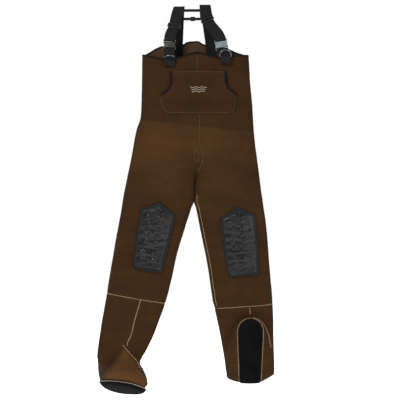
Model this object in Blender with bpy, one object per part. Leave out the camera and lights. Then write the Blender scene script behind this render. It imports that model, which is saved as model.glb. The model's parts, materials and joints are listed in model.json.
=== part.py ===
"""Chest waders hanging by their shoulder straps: neoprene shell, stocking feet, knee pads and strap hardware.

Metres, +Z up. The front faces -Y, the wearer's left side is at +X, and the origin is at the top of the
shoulder straps, where they hang. Every moving piece has its origin on its joint's axis.
"""

import math

import bmesh
import bpy
import numpy as np
from mathutils import Matrix, Vector
from mathutils.bvhtree import BVHTree

# Shell
WALL = 0.005
SEAM_GAP = 0.0004
JOIN_GAP = 0.0005
LAY_GAP = 0.0012
SOLE_THICKNESS = 0.0040
SOLE_GAP = 0.0008
BODY_COLUMNS = 24
LEG_COLUMNS = 20
CROTCH_TOP = -0.585
CROTCH_BOTTOM = -0.725
BINDING_WIDTH = 0.0074
BINDING_HEIGHT = 0.008

# Joints
KNEE_Z = -0.940
KNEE_FLEX = math.radians(75)
CROSS_SEAM_Z = {"right": -1.172, "left": -1.204}
ANKLE_Z = {"right": -1.415, "left": -1.459}

# Webbing and hardware
STRAP_WIDTH = 0.044
STRAP_THICKNESS = 0.0022
STRAP_TOP_Y = 0.0020
STRAP_LEAN = 0.235
STRAP_TOP_X = {"right": -0.0675, "left": 0.036}
STRAP_TOP_Z = {"right": -0.0075, "left": -0.0010}
BUCKLE_POINT = {"right": (-0.105, -0.157), "left": (0.100, -0.157)}
BUCKLE_TILT = {"right": math.radians(1), "left": math.radians(-9)}
ADJUSTER_POINT = {"right": (-0.0868, -0.0875), "left": (0.0460, -0.0620)}
ADJUSTER_TILT = {"right": math.radians(12), "left": math.radians(-31)}
TAB_X = {"right": -0.104, "left": 0.1165}
TAB_BACK_Y = -0.0560
TAB_TOP_Z = {"right": -0.2170, "left": -0.2065}
RING_TILT = {"right": math.radians(62), "left": math.radians(14)}
RING_RADIUS = 0.0228
RING_WIRE = 0.0019

# Outlines, as (height, distance across) pairs
OUTER = {
    "right": [(-0.19, -0.214), (-0.45, -0.220), (-0.50, -0.237), (-0.70, -0.277), (-0.83, -0.302),
              (-0.94, -0.322), (-1.05, -0.341), (-1.16, -0.358), (-1.29, -0.380), (-1.39, -0.394),
              (-1.42, -0.395)],
    "left": [(-0.19, 0.209), (-0.29, 0.214), (-0.37, 0.222), (-0.50, 0.232), (-0.74, 0.260),
             (-0.87, 0.280), (-1.10, 0.299), (-1.18, 0.306), (-1.36, 0.311), (-1.48, 0.314)],
}
INNER = {
    "right": [(-0.78, -0.010), (-0.90, -0.046), (-1.01, -0.077), (-1.14, -0.108), (-1.20, -0.126),
              (-1.31, -0.166), (-1.38, -0.198), (-1.42, -0.222)],
    "left": [(-0.78, -0.008), (-0.90, 0.016), (-1.04, 0.044), (-1.18, 0.066), (-1.21, 0.075),
             (-1.36, 0.104), (-1.48, 0.122)],
}
CENTRE = [(-0.19, 0.006), (-0.26, 0.006), (-0.44, 0.012), (-0.57, 0.014), (-0.64, 0.005), (-0.78, -0.009)]
SLOPE = {
    "right": [(-0.62, 0.0), (-0.94, -0.15), (-1.20, -0.17), (-1.40, -0.06)],
    "left": [(-0.62, 0.0), (-0.94, 0.10), (-1.20, 0.07), (-1.40, 0.0)],
}
HALF_DEPTH = [(-0.19, 0.050), (-0.45, 0.062), (-0.60, 0.062), (-0.78, 0.056), (-0.94, 0.046),
              (-1.20, 0.040), (-1.40, 0.039), (-1.50, 0.038)]
ROUNDNESS = [(-0.20, 2.9), (-0.60, 2.8), (-0.80, 2.4), (-1.40, 2.3)]
FRONT_EDGE = [(-0.215, -0.199), (-0.175, -0.208), (-0.142, -0.215), (-0.078, -0.215), (-0.042, -0.204),
              (-0.007, -0.194), (0.022, -0.194), (0.058, -0.205), (0.093, -0.210), (0.143, -0.206),
              (0.209, -0.201)]
BACK_EDGE = [(-0.215, -0.199), (-0.200, -0.193), (-0.164, -0.170), (-0.132, -0.158), (-0.055, -0.152),
             (-0.036, -0.142), (-0.014, -0.139), (0.011, -0.139), (0.029, -0.150), (0.129, -0.170),
             (0.164, -0.185), (0.209, -0.201)]

COLOURS = {
    "neoprene": ((0.060, 0.026, 0.011), 0.85, 0.0),
    "binding": ((0.008, 0.007, 0.006), 0.80, 0.0),
    "webbing": ((0.014, 0.014, 0.015), 0.75, 0.0),
    "knee_rubber": ((0.026, 0.027, 0.029), 0.45, 0.0),
    "sole_rubber": ((0.010, 0.011, 0.012), 0.60, 0.0),
    "buckle_dark": ((0.060, 0.060, 0.055), 0.30, 0.0),
    "buckle_light": ((0.300, 0.350, 0.360), 0.30, 0.0),
    "adjuster_plastic": ((0.012, 0.012, 0.013), 0.40, 0.0),
    "slider_plastic": ((0.012, 0.012, 0.013), 0.40, 0.0),
    "ring_metal": ((0.350, 0.370, 0.370), 0.25, 1.0),
}


# Curves through points


def along(points, value):
    """A smooth curve through (position, value) pairs, with the slopes of its neighbours at each."""
    points = sorted(points)
    at = [p[0] for p in points]
    if value <= at[0]:
        return points[0][1]
    if value >= at[-1]:
        return points[-1][1]
    i = int(np.searchsorted(at, value, side="right")) - 1
    last = len(points) - 1

    def slope(k):
        low, high = max(0, k - 1), min(last, k + 1)
        return (points[high][1] - points[low][1]) / (points[high][0] - points[low][0])

    width = at[i + 1] - at[i]
    t = (value - at[i]) / width
    start, end = points[i][1], points[i + 1][1]
    rise = start * (2 * t**3 - 3 * t**2 + 1) + end * (3 * t**2 - 2 * t**3)
    return rise + width * (slope(i) * (t**3 - 2 * t**2 + t) + slope(i + 1) * (t**3 - t**2))


def smooth(low, high, value):
    t = min(1.0, max(0.0, (value - low) / (high - low)))
    return t * t * (3 - 2 * t)


def rounded(angle, power):
    """A point of the unit superellipse: round at power 2, and squarer as the power grows."""
    x, y = math.cos(angle), math.sin(angle)
    size = (abs(x) ** power + abs(y) ** power) ** (1 / power)
    return x / size, y / size


# The shell's surface


def surface_point(side, u, z, gap=SEAM_GAP):
    """A point on one half's outer surface: u runs from the front seam round the side to the back seam."""
    sign = 1 if side == "left" else -1
    seam_x = along(CENTRE, z) + sign * gap
    slope = along(SLOPE[side], z)
    outer_x = along(OUTER[side], z)
    inner_x = seam_x if z > CROTCH_BOTTOM else along(INNER[side], z)
    middle = (outer_x + inner_x) / 2
    outer_x = along(OUTER[side], z + slope * (outer_x - middle))
    if z <= CROTCH_BOTTOM:
        inner_x = along(INNER[side], z + slope * (inner_x - middle))
        if abs(inner_x - seam_x) < 0.02 and z > -0.80:
            inner_x = seam_x + (inner_x - seam_x) * smooth(-0.76, -0.80, z)
    depth = along(HALF_DEPTH, z)
    power = along(ROUNDNESS, z)
    x, y = rounded(-math.pi / 2 + math.pi * u, power)
    body = Vector((seam_x + (outer_x - seam_x) * x, depth * y, 0))
    slit = math.radians(0.25)
    x, y = rounded(-math.pi + slit + (2 * math.pi - 2 * slit) * u, power)
    middle = (outer_x + inner_x) / 2
    leg = Vector((middle + (outer_x - inner_x) / 2 * x, depth * y, 0))
    point = body.lerp(leg, smooth(CROTCH_TOP, CROTCH_BOTTOM, z))
    point.z = z + slope * (point.x - middle)
    return point


def inward(side, u, z, gap=SEAM_GAP):
    """The direction from the outer surface to the inner one."""
    sign = 1 if side == "left" else -1
    split = smooth(CROTCH_TOP, CROTCH_BOTTOM, z)
    if u in (0.0, 1.0):
        return Vector((sign * split, (1 - split) * (1 - 2 * u), 0)).normalized()
    step = 0.01
    tangent = surface_point(side, min(1, u + step), z, gap) - surface_point(side, max(0, u - step), z, gap)
    return Vector((-tangent.y, tangent.x, 0)).normalized() * sign


def rim_height(side, u):
    """The height of the bib's cut edge: the front and back edges meet at the side."""
    x = surface_point(side, u, -0.2).x
    edge = FRONT_EDGE if u < 0.5 else BACK_EDGE
    return along(edge, x) - BINDING_HEIGHT - JOIN_GAP


def knee_relief(y):
    """How far each side of the knee is cut back behind its axis."""
    return JOIN_GAP + max(0.0, y) * math.tan(KNEE_FLEX / 2 + math.radians(2))


# Solids


def new_object(name, points, faces, slot, origin=None):
    """An object whose mesh is one closed surface, with its origin at the point given."""
    origin = Vector(origin or (0, 0, 0))
    mesh = bpy.data.meshes.new(name)
    mesh.from_pydata([Vector(p) - origin for p in points], [], faces)
    work = bmesh.new()
    work.from_mesh(mesh)
    bmesh.ops.recalc_face_normals(work, faces=work.faces)
    work.to_mesh(mesh)
    work.free()
    mesh.shade_smooth()
    mesh.set_sharp_from_angle(angle=math.radians(40))
    mesh.materials.append(MATERIALS[slot])
    obj = bpy.data.objects.new(name, mesh)
    obj.location = origin
    bpy.context.scene.collection.objects.link(obj)
    return obj


def grid_faces(rows, columns, start, closed):
    faces = []
    for r in range(rows - 1):
        for c in range(columns if closed else columns - 1):
            d = (c + 1) % columns
            faces.append((start + r * columns + c, start + r * columns + d,
                          start + (r + 1) * columns + d, start + (r + 1) * columns + c))
    return faces


def slab(name, outer, inner, slot, closed=False, cap_end=False, origin=None):
    """The solid between two grids of points. A closed one is a tube, and a capped one is a cup."""
    rows, columns = len(outer), len(outer[0])
    points = [p for row in outer for p in row] + [p for row in inner for p in row]
    far = rows * columns
    faces = grid_faces(rows, columns, 0, closed) + grid_faces(rows, columns, far, closed)
    ends = [0] if cap_end else [0, rows - 1]
    for r in ends:
        for c in range(columns if closed else columns - 1):
            a, b = r * columns + c, r * columns + (c + 1) % columns
            faces.append((a, b, far + b, far + a))
    if cap_end:
        last = (rows - 1) * columns
        faces.append(tuple(range(last, last + columns)))
        faces.append(tuple(range(far + last, far + last + columns)))
    if not closed:
        for r in range(rows - 1):
            for c in (0, columns - 1):
                a, b = r * columns + c, (r + 1) * columns + c
                faces.append((a, b, far + b, far + a))
    return new_object(name, points, faces, slot, origin)


def sweep(name, rings, slot, closed=False, origin=None):
    """A solid through rings of points, with flat ends unless it closes on itself."""
    columns = len(rings[0])
    points = [p for ring in rings for p in ring]
    faces = grid_faces(len(rings), columns, 0, True)
    last = (len(rings) - 1) * columns
    if closed:
        faces += [(last + c, last + (c + 1) % columns, (c + 1) % columns, c) for c in range(columns)]
    else:
        faces += [tuple(range(columns)), tuple(range(last, last + columns))]
    return new_object(name, points, faces, slot, origin)


def ribbon(name, stations, slot, thickness=STRAP_THICKNESS, width=STRAP_WIDTH, origin=None, frame=None):
    """Webbing through stations of (centre, direction across)."""
    rings = []
    last = len(stations) - 1
    for i, (centre, across) in enumerate(stations):
        centre, across = Vector(centre), Vector(across).normalized()
        run = Vector(stations[min(last, i + 1)][0]) - Vector(stations[max(0, i - 1)][0])
        face = across.cross(run).normalized() * thickness / 2
        side = across * width / 2
        ring = [centre + side + face, centre - side + face, centre - side - face, centre + side - face]
        rings.append([frame @ p for p in ring] if frame else ring)
    return sweep(name, rings, slot, origin=origin)


def blocks(name, xs, ys, zs, filled, slot, frame, bevel=0.0006):
    """A solid made of the filled cells of a grid of planes, in its own frame, with its edges eased."""
    cells = {
        (i, j, k)
        for i in range(len(xs) - 1)
        for j in range(len(ys) - 1)
        for k in range(len(zs) - 1)
        if filled((xs[i] + xs[i + 1]) / 2, (ys[j] + ys[j + 1]) / 2, (zs[k] + zs[k + 1]) / 2)
    }
    corner = {}
    points, faces = [], []

    def index(key):
        if key not in corner:
            corner[key] = len(points)
            points.append((xs[key[0]], ys[key[1]], zs[key[2]]))
        return corner[key]

    for cell in sorted(cells):
        for axis in range(3):
            for step in (0, 1):
                beside = list(cell)
                beside[axis] += 2 * step - 1
                if tuple(beside) in cells:
                    continue
                a, b = (axis + 1) % 3, (axis + 2) % 3
                ring = []
                for da, db in ((0, 0), (1, 0), (1, 1), (0, 1)):
                    key = list(cell)
                    key[axis] += step
                    key[a] += da
                    key[b] += db
                    ring.append(index(tuple(key)))
                faces.append(ring if step else ring[::-1])
    obj = new_object(name, points, faces, slot)
    work = bmesh.new()
    work.from_mesh(obj.data)
    bmesh.ops.dissolve_limit(work, angle_limit=math.radians(1), verts=work.verts, edges=work.edges)
    work.to_mesh(obj.data)
    work.free()
    ease = obj.modifiers.new("ease", "BEVEL")
    ease.width = bevel
    ease.segments = 1
    ease.limit_method = "ANGLE"
    obj.matrix_world = frame
    return obj


# The neoprene shell


RIM_SHARES = [0.0, 0.3, 0.65, 1.0]
RIM_END = -0.29
SHELL_ROWS = [-0.33, -0.38, -0.43, -0.46, -0.50, -0.55, -0.59, -0.63, -0.67, -0.71, -0.75, -0.79, -0.83,
              -0.88, KNEE_Z]


def shell_grid(side, gap=SEAM_GAP):
    """The half panel's outer and inner grids, from the bib's rim to the knee."""
    outer, inner = [], []
    heights = [(t, None) for t in RIM_SHARES] + [(None, z) for z in SHELL_ROWS]
    for t, z in heights:
        out_row, in_row = [], []
        for c in range(BODY_COLUMNS + 1):
            u = c / BODY_COLUMNS
            level = z if z is not None else rim_height(side, u) * (1 - t) + RIM_END * t
            point = surface_point(side, u, level, gap)
            below = point + inward(side, u, level, gap) * WALL
            if z == KNEE_Z:
                point.z += knee_relief(point.y)
                below.z += knee_relief(below.y)
            out_row.append(point)
            in_row.append(below)
        outer.append(out_row)
        inner.append(in_row)
    return outer, inner


def make_half_panel(side):
    outer, inner = shell_grid(side)
    slab(f"{side}_body_panel", outer, inner, "neoprene")


def leg_ring(side, z, inset=0.0):
    """A closed ring round the leg, starting at the inseam."""
    ring = []
    for c in range(LEG_COLUMNS):
        u = c / LEG_COLUMNS
        point = surface_point(side, u, z)
        if inset:
            step = 0.5 / LEG_COLUMNS
            tangent = surface_point(side, (u + step) % 1, z) - surface_point(side, (u - step) % 1, z)
            sign = 1 if side == "left" else -1
            point += Vector((-tangent.y, tangent.x, 0)).normalized() * inset * sign
        ring.append(point)
    return ring


def knee_axis_point(side):
    ring = leg_ring(side, KNEE_Z)
    return Vector((sum(p.x for p in ring) / len(ring), 0, KNEE_Z))


def ankle_axis_point(side):
    if side == "right":
        front = max(leg_ring(side, ANKLE_Z[side]), key=lambda p: p.dot(HEADING))
        return Vector((front.x, front.y, ANKLE_Z[side]))
    return Vector((0.213, 0.0, ANKLE_Z[side]))


def tube(name, side, heights, slot, origin, first=None):
    """A length of leg between two heights, with its first ring moved by the function given."""
    outer = [leg_ring(side, z) for z in heights]
    inner = [leg_ring(side, z, WALL) for z in heights]
    if first:
        for point in outer[0] + inner[0]:
            point.z += first(point)
    return slab(name, outer, inner, slot, closed=True, origin=origin)


def make_lower_leg(side):
    seam = CROSS_SEAM_Z[side]
    axis = knee_axis_point(side)
    upper = [KNEE_Z, -0.99, -1.04, -1.09, -1.13, seam + JOIN_GAP / 2]
    tube(f"{side}_shin_panel", side, upper, "neoprene", axis, first=lambda p: -knee_relief(p.y))
    if side == "right":
        lower = [seam - JOIN_GAP / 2, -1.22, -1.27, -1.32, -1.365, ANKLE_Z[side]]
        tube(f"{side}_bootie_shaft", side, lower, "neoprene", axis)
    else:
        lower = [seam - JOIN_GAP / 2, -1.25, -1.30, -1.35, -1.40, -1.44, ANKLE_Z[side] + 0.003]
        tube(f"{side}_bootie_shaft", side, lower, "neoprene", axis)


# The right foot: a sock turned to its own side, with its sole rolled a little forward

FOOT_YAW = math.radians(55)
HEADING = Vector((math.cos(FOOT_YAW), -math.sin(FOOT_YAW), 0))
LATERAL = Vector((-math.sin(FOOT_YAW), -math.cos(FOOT_YAW), 0))
ANKLE_MIDDLE = Vector((-0.3115, 0.0, 0.0))
SOLE_Z = -1.535
SOLE_PITCH = -0.118
SOLE_ROLL = 0.47
FOOT_FRONT = [(0.0, 0.062), (0.2, 0.100), (0.5, 0.143), (0.7, 0.158), (0.85, 0.164), (1.0, 0.160)]
FOOT_BACK = [(0.0, 0.070), (0.3, 0.092), (0.6, 0.102), (0.8, 0.100), (1.0, 0.092)]
FOOT_HALF_WIDTH = [(0.0, 0.064), (0.25, 0.070), (0.5, 0.067), (0.85, 0.057), (1.0, 0.048)]
FOOT_DROPS = [(0.0, 1), (0.1, 1), (0.2, 1), (0.32, 1), (0.44, 1), (0.56, 1), (0.68, 1), (0.78, 1),
              (0.86, 0.995), (0.95, 0.95), (1.0, 0.86)]
SOLE_RINGS = 3


def ankle_axis(side):
    """The hinge's direction: a positive turn lifts the right toe, or unfolds the left foot."""
    return Vector((1, 0, 0)) if side == "left" else LATERAL.copy()


def foot_ring(drop, scale, inset):
    """One ring of the sock, from the shaft's own ring at drop 0 to the outline of the sole at drop 1."""
    front, back, half = (along(table, drop) for table in (FOOT_FRONT, FOOT_BACK, FOOT_HALF_WIDTH))
    share = smooth(0, 0.45, drop)
    ring = leg_ring("right", ANKLE_Z["right"] - JOIN_GAP, max(inset, 0.0))
    points = []
    for c, start in enumerate(ring):
        x, y = rounded(2 * math.pi * c / LEG_COLUMNS - FOOT_YAW, 2.5)
        ahead = (front - back) / 2 + ((front + back) / 2 * scale - inset) * x
        across = (half * scale - inset) * y
        flat = (start * (1 - share) + (ANKLE_MIDDLE + HEADING * ahead + LATERAL * across) * share)
        sole_z = SOLE_Z - SOLE_PITCH * ahead + SOLE_ROLL * across + inset * smooth(0.7, 1, drop)
        points.append(Vector((flat.x, flat.y, start.z + (sole_z - start.z) * drop)))
    return points


def make_right_foot():
    centre = ankle_axis_point("right")
    walls = [[foot_ring(drop, scale, inset) for drop, scale in FOOT_DROPS] for inset in (0.0, WALL)]
    slab("right_bootie_foot", walls[0], walls[1], "neoprene", closed=True, cap_end=True, origin=centre)
    offsets = (-SOLE_GAP - SOLE_THICKNESS, -SOLE_GAP)
    walls = [[foot_ring(drop, scale, offset) for drop, scale in FOOT_DROPS[-SOLE_RINGS:]]
             for offset in offsets]
    slab("right_sole", walls[0], walls[1], "sole_rubber", closed=True, cap_end=True, origin=centre)


# The left foot: a sock folded up against the front of its leg, with its heel in the end of the shaft

FOLD_MIDDLE = 0.2155
FOLD_HALF_WIDTH = 0.094
FOLD_TOP = -1.239
FOLD_BOTTOM = -1.504
FOLD_BOTTOM_RISE = {"inner": 0.54, "outer": 0.67}
FOLD_FLAT_HALF_WIDTH = 0.040
FOLD_BACK = -0.0405
FOLD_FRONT = -0.0800
HEEL_RADIUS = 0.0295
HEEL_HALF_WIDTH = 0.081


def folded_slice(offset):
    """The side view of the folded foot at one distance from its middle, as a ring of points."""
    t = min(0.999, abs(offset) / FOLD_HALF_WIDTH)
    heel = max(0.0, 1 - (abs(offset) / HEEL_HALF_WIDTH) ** 2.3) ** (1 / 2.3)
    axis = ANKLE_Z["left"]
    top = axis + 0.030 + (FOLD_TOP - axis - 0.030) * (1 - t**2.2) ** (1 / 2.2)
    rise = FOLD_BOTTOM_RISE["outer" if offset > 0 else "inner"] * max(0.0, abs(offset) - FOLD_FLAT_HALF_WIDTH)
    bottom = axis - 0.010 + (FOLD_BOTTOM + rise - axis + 0.010) * (1 - t**7) ** (1 / 7)
    thick = FOLD_BACK - FOLD_FRONT
    front = FOLD_BACK - thick * (0.35 + 0.65 * (1 - t**4) ** 0.25)
    radius = 0.001 + (HEEL_RADIUS - 0.001) * heel
    sink = 0.004 * (1 - heel)
    x = FOLD_MIDDLE + offset
    drop = axis - bottom
    ring = [
        (FOLD_BACK, axis + 0.004),
        (FOLD_BACK, top - 0.020),
        (FOLD_BACK - 0.006, top - 0.006),
        ((FOLD_BACK + front) / 2, top),
        (front + 0.006, top - 0.006),
        (front, top - 0.020),
        (front, (top + axis) / 2),
        (front, axis - 0.004),
        (front + 0.010, axis - drop * 0.62),
        (front + 0.026, axis - drop * 0.93),
        (front * 0.45, axis - drop),
        (-0.004, axis - drop),
    ]
    for degrees in (12, 45, 80, 110, 145, 180, 215, 250, 262):
        angle = math.radians(degrees)
        ring.append((radius * math.sin(angle), axis - sink - radius * math.cos(angle)))
    ring.append((-radius - 0.001, axis - 0.0012 - sink))
    ring.append((FOLD_BACK, axis - 0.0012))
    return [Vector((x, y, z)) for y, z in ring]


def make_left_foot():
    origin = ankle_axis_point("left")
    offsets = [FOLD_HALF_WIDTH * s for s in (-0.975, -0.92, -0.80, -0.62, -0.40, -0.14)]
    offsets += [-o for o in reversed(offsets)]
    sweep("left_bootie_foot", [folded_slice(o) for o in offsets], "neoprene", origin=origin)
    make_left_sole(origin)


def make_left_sole(origin):
    """A flat plate on the folded foot's face: round at the toe and narrower at the heel."""
    front = FOLD_FRONT - SOLE_GAP
    high, low = FOLD_TOP - 0.010, FOLD_BOTTOM - 0.001
    rows = 14
    outer, inner = [], []
    for r in range(rows + 1):
        t = r / rows
        z = high + (low - high) * (1 - math.cos(math.pi * t / 2))
        width = 0.0465 - 0.0065 * smooth(0.45, 1.0, t)
        depth = high - z
        if depth < 0.050:
            width *= max(0.10, math.sqrt(1 - (1 - depth / 0.050) ** 2))
        middle = 0.2155 - 0.002 * t
        outer.append([Vector((middle + s * width, front - SOLE_THICKNESS, z)) for s in (-1, -0.5, 0, 0.5, 1)])
        inner.append([Vector((middle + s * width, front, z)) for s in (-1, -0.5, 0, 0.5, 1)])
    slab("left_sole", outer, inner, "sole_rubber", origin=origin)


# Pieces laid on the front


def front_finder():
    """A function that gives the front surface's y at an x and z."""
    points, faces = [], []
    for side in ("right", "left"):
        grid, _ = shell_grid(side, gap=0.0)
        rings = grid[:-1] + [[surface_point(side, c / BODY_COLUMNS, z, 0.0) for c in range(BODY_COLUMNS + 1)]
                             for z in (KNEE_Z, -0.99, -1.04, -1.09, -1.15)]
        start = len(points)
        points += [p for ring in rings for p in ring]
        faces += grid_faces(len(rings), BODY_COLUMNS + 1, start, False)
    tree = BVHTree.FromPolygons(points, faces)

    def front_y(x, z):
        for nudge in (0.0, 0.0002, -0.0002, 0.001, -0.001):
            hit = tree.ray_cast(Vector((x + nudge, -1.0, z)), Vector((0, 1, 0)))[0]
            if hit is not None:
                return hit.y
        return -0.04

    return front_y


def laid_on(name, places, lift, thickness, slot, front_y):
    """A skin over the front surface: places is a grid of (x, z), and lift gives each one's clearance."""
    outer, inner = [], []
    for r, row in enumerate(places):
        out_row, in_row = [], []
        for c, (x, z) in enumerate(row):
            back = front_y(x, z) - lift(r / (len(places) - 1), c / (len(row) - 1))
            out_row.append(Vector((x, back - thickness, z)))
            in_row.append(Vector((x, back, z)))
        outer.append(out_row)
        inner.append(in_row)
    return slab(name, outer, inner, slot)


KNEE_PADS = {
    "right": {"low": (-0.1945, -1.0620), "high": (-0.1485, -0.8200), "low_width": 0.124, "high_width": 0.144},
    "left": {"low": (0.1890, -1.0830), "high": (0.1665, -0.8400), "low_width": 0.130, "high_width": 0.144},
}
PAD_PEAK = 0.034


def knee_pad_place(side, s, t):
    """A place on the pad: s runs across from -1 to 1, and t from the foot of the pad to its peaked top."""
    pad = KNEE_PADS[side]
    low, high = Vector(pad["low"]), Vector(pad["high"])
    run = high - low
    length = run.length
    up = run / length
    across = Vector((-up.y, up.x)) * -1
    height = t * length
    width = pad["low_width"] * (1 - t) + pad["high_width"] * t
    corner = 0.022
    if height < corner:
        width -= 2 * corner * (1 - math.sqrt(1 - (1 - height / corner) ** 2)) * 0.8
    peak = PAD_PEAK * (1 - abs(s)) ** 1.5 * smooth(0.55, 1.0, t)
    shoulder = -0.010 * abs(s) ** 8 * smooth(0.8, 1.0, t)
    place = low + up * (height + peak + shoulder) + across * s * width / 2
    return place.x, place.y


def make_knee_pad(side, front_y):
    rows, columns = 9, 8
    steps = [0.0, 0.03, 0.09] + [0.09 + 0.91 * r / (rows - 3) for r in range(1, rows - 2)]
    places = [[knee_pad_place(side, 2 * c / columns - 1, t) for c in range(columns + 1)] for t in steps]
    laid_on(f"{side}_knee_pad", places, lambda r, c: LAY_GAP, 0.0040, "knee_rubber", front_y)


POCKET_LEFT_EDGE = [(-0.440, -0.108), (-0.425, -0.130), (-0.398, -0.142), (-0.370, -0.141), (-0.354, -0.121),
                    (-0.338, -0.107), (-0.313, -0.098), (-0.268, -0.100)]
POCKET_RIGHT_EDGE = [(-0.440, 0.116), (-0.434, 0.142), (-0.415, 0.157), (-0.381, 0.160), (-0.361, 0.159),
                     (-0.348, 0.140), (-0.331, 0.125), (-0.309, 0.118), (-0.268, 0.118)]
POCKET_TOP = -0.268
POCKET_BOTTOM = -0.440
POCKET_MOUTH_END = -0.362
POCKET_PUFF = 0.0100


def pocket_lift(s, t):
    """How far the pocket stands off: closed at its top, bottom and lower sides, open at its mouths."""
    z = POCKET_TOP + (POCKET_BOTTOM - POCKET_TOP) * t
    rise = min(1.0, 1.7 * math.sin(math.pi * min(1.0, t * 1.02))) ** 0.8 if 0 < t < 0.98 else 0.0
    closed_side = smooth(POCKET_MOUTH_END + 0.006, POCKET_MOUTH_END - 0.014, z)
    return LAY_GAP + POCKET_PUFF * rise * (1 - closed_side * abs(2 * s - 1) ** 6)


def make_pocket(front_y):
    rows, columns = 15, 14
    places = []
    for r in range(rows + 1):
        z = POCKET_TOP + (POCKET_BOTTOM - POCKET_TOP) * r / rows
        low, high = along(POCKET_LEFT_EDGE, z), along(POCKET_RIGHT_EDGE, z)
        places.append([(low + (high - low) * c / columns, z) for c in range(columns + 1)])
    laid_on("pocket_panel", places, lambda r, c: pocket_lift(c, r), 0.003, "neoprene", front_y)


def make_pocket_binding(side, front_y):
    """A piping strip along one mouth of the pocket, on the pocket's face."""
    edge = POCKET_RIGHT_EDGE if side == "left" else POCKET_LEFT_EDGE
    s = 1.0 if side == "left" else 0.0
    sign = 1 if side == "left" else -1
    width, thickness = 0.0085, 0.0024
    rows = 10
    rings = []
    for r in range(rows + 1):
        t = 0.03 + 0.53 * r / rows
        z = POCKET_TOP + (POCKET_BOTTOM - POCKET_TOP) * t
        ahead, behind = along(edge, z - 0.004), along(edge, z + 0.004)
        run = Vector((ahead - behind, 0, -0.008)).normalized()
        across = Vector((-run.z, 0, run.x)) * sign
        if across.x * sign < 0:
            across = -across
        x = along(edge, z)
        y = front_y(x - sign * 0.004, z) - pocket_lift(s, t) - 0.003 - 0.0022
        centre = Vector((x, y - thickness / 2, z)) - across * 0.0015
        out = Vector((0, -thickness / 2, 0))
        rings.append([centre + across * width / 2 + out, centre + across * width / 2 - out,
                      centre - across * width / 2 - out, centre - across * width / 2 + out])
    sweep(f"{side}_pocket_binding", rings, "binding")


def make_gusset(front_y):
    """A small pointed patch over the place where the legs divide."""
    top, bottom = Vector((0.0135, -0.570)), Vector((0.0040, -0.650))
    rows, half = 10, 0.0165
    places = []
    for r in range(rows + 1):
        t = 0.03 + 0.94 * r / rows
        middle = top.lerp(bottom, t)
        width = half * math.sin(math.pi * t) ** 0.9
        places.append([(middle.x + s * width, middle.y) for s in (-1, -0.5, 0, 0.5, 1)])
    laid_on("crotch_gusset", places, lambda r, c: LAY_GAP + 0.0035 * r, 0.0018, "neoprene", front_y)


def make_top_binding():
    """The tape that closes the bib's cut edge, as one ring round the opening."""
    rings = []
    for side, direction in (("left", 1), ("right", -1)):
        steps = range(BODY_COLUMNS + 1)[::direction]
        for c in steps:
            u = c / BODY_COLUMNS
            level = rim_height(side, u)
            outer = surface_point(side, u, level, 0.0)
            across = inward(side, u, level, 0.0)
            middle = outer + across * WALL / 2 + Vector((0, 0, JOIN_GAP))
            side_step = across * BINDING_WIDTH / 2
            up = Vector((0, 0, BINDING_HEIGHT))
            ring = [middle - side_step, middle - side_step + up * 0.75, middle - side_step * 0.5 + up,
                    middle + side_step * 0.5 + up, middle + side_step + up * 0.75, middle + side_step]
            if rings and (rings[-1][0] - ring[0]).length < 0.0005:
                continue
            rings.append(ring)
    if (rings[-1][0] - rings[0][0]).length < 0.0005:
        rings.pop()
    sweep("top_binding", rings, "binding", closed=True)


# Straps


def lean_y(z):
    """The front strap's depth at a height: it leans from the bib's front to the strap's top."""
    return -STRAP_TOP_Y + STRAP_LEAN * z


def hardware_frame(point, tilt, forward=0.0):
    """A frame on the leaning strap: +Z up along the strap, -Y facing out, turned by tilt in its plane."""
    x, z = point
    lean = math.atan(STRAP_LEAN)
    place = Matrix.Translation((x, lean_y(z) - forward, z))
    return place @ Matrix.Rotation(-lean, 4, "X") @ Matrix.Rotation(tilt, 4, "Y")


def in_plane(angle):
    """The direction across a strap whose run is tilted by an angle in its leaning plane."""
    lean = math.atan(STRAP_LEAN)
    turn = Matrix.Rotation(-lean, 3, "X") @ Matrix.Rotation(angle, 3, "Y")
    return turn @ Vector((1, 0, 0))


def strap_route(side):
    """The front strap's middle line from its top to its buckle, as (x, z, tilt)."""
    top = STRAP_TOP_X[side]
    buckle_x, buckle_z = BUCKLE_POINT[side]
    tilt = BUCKLE_TILT[side]
    up = 0.0175
    end = (buckle_x + up * math.sin(tilt), buckle_z + up * math.cos(tilt), tilt)
    if side == "right":
        lean = ADJUSTER_TILT[side]
        return [(top, STRAP_TOP_Z[side], lean * 0.4), (top - 0.0035, -0.022, lean), (-0.0778, -0.045, lean),
                (-0.0868, -0.0875, lean), (-0.0925, -0.107, lean * 0.8), (-0.0995, -0.124, lean * 0.4), end]
    lean = ADJUSTER_TILT[side]
    return [(top, STRAP_TOP_Z[side], 0), (top + 0.0006, -0.022, lean * 0.15),
            (top + 0.0018, -0.038, lean * 0.6), (0.0400, -0.0520, lean), (0.0640, -0.0920, lean),
            (0.0769, -0.1134, lean), end]


def make_front_strap(side):
    stations = [((x, lean_y(z), z), in_plane(tilt)) for x, z, tilt in strap_route(side)]
    frame = buckle_frame(side)
    ribbon(f"{side}_front_strap", stations, "webbing", origin=frame.translation)


BACK_STRAP_DRIFT = {"right": -0.008, "left": 0.026}


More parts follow.
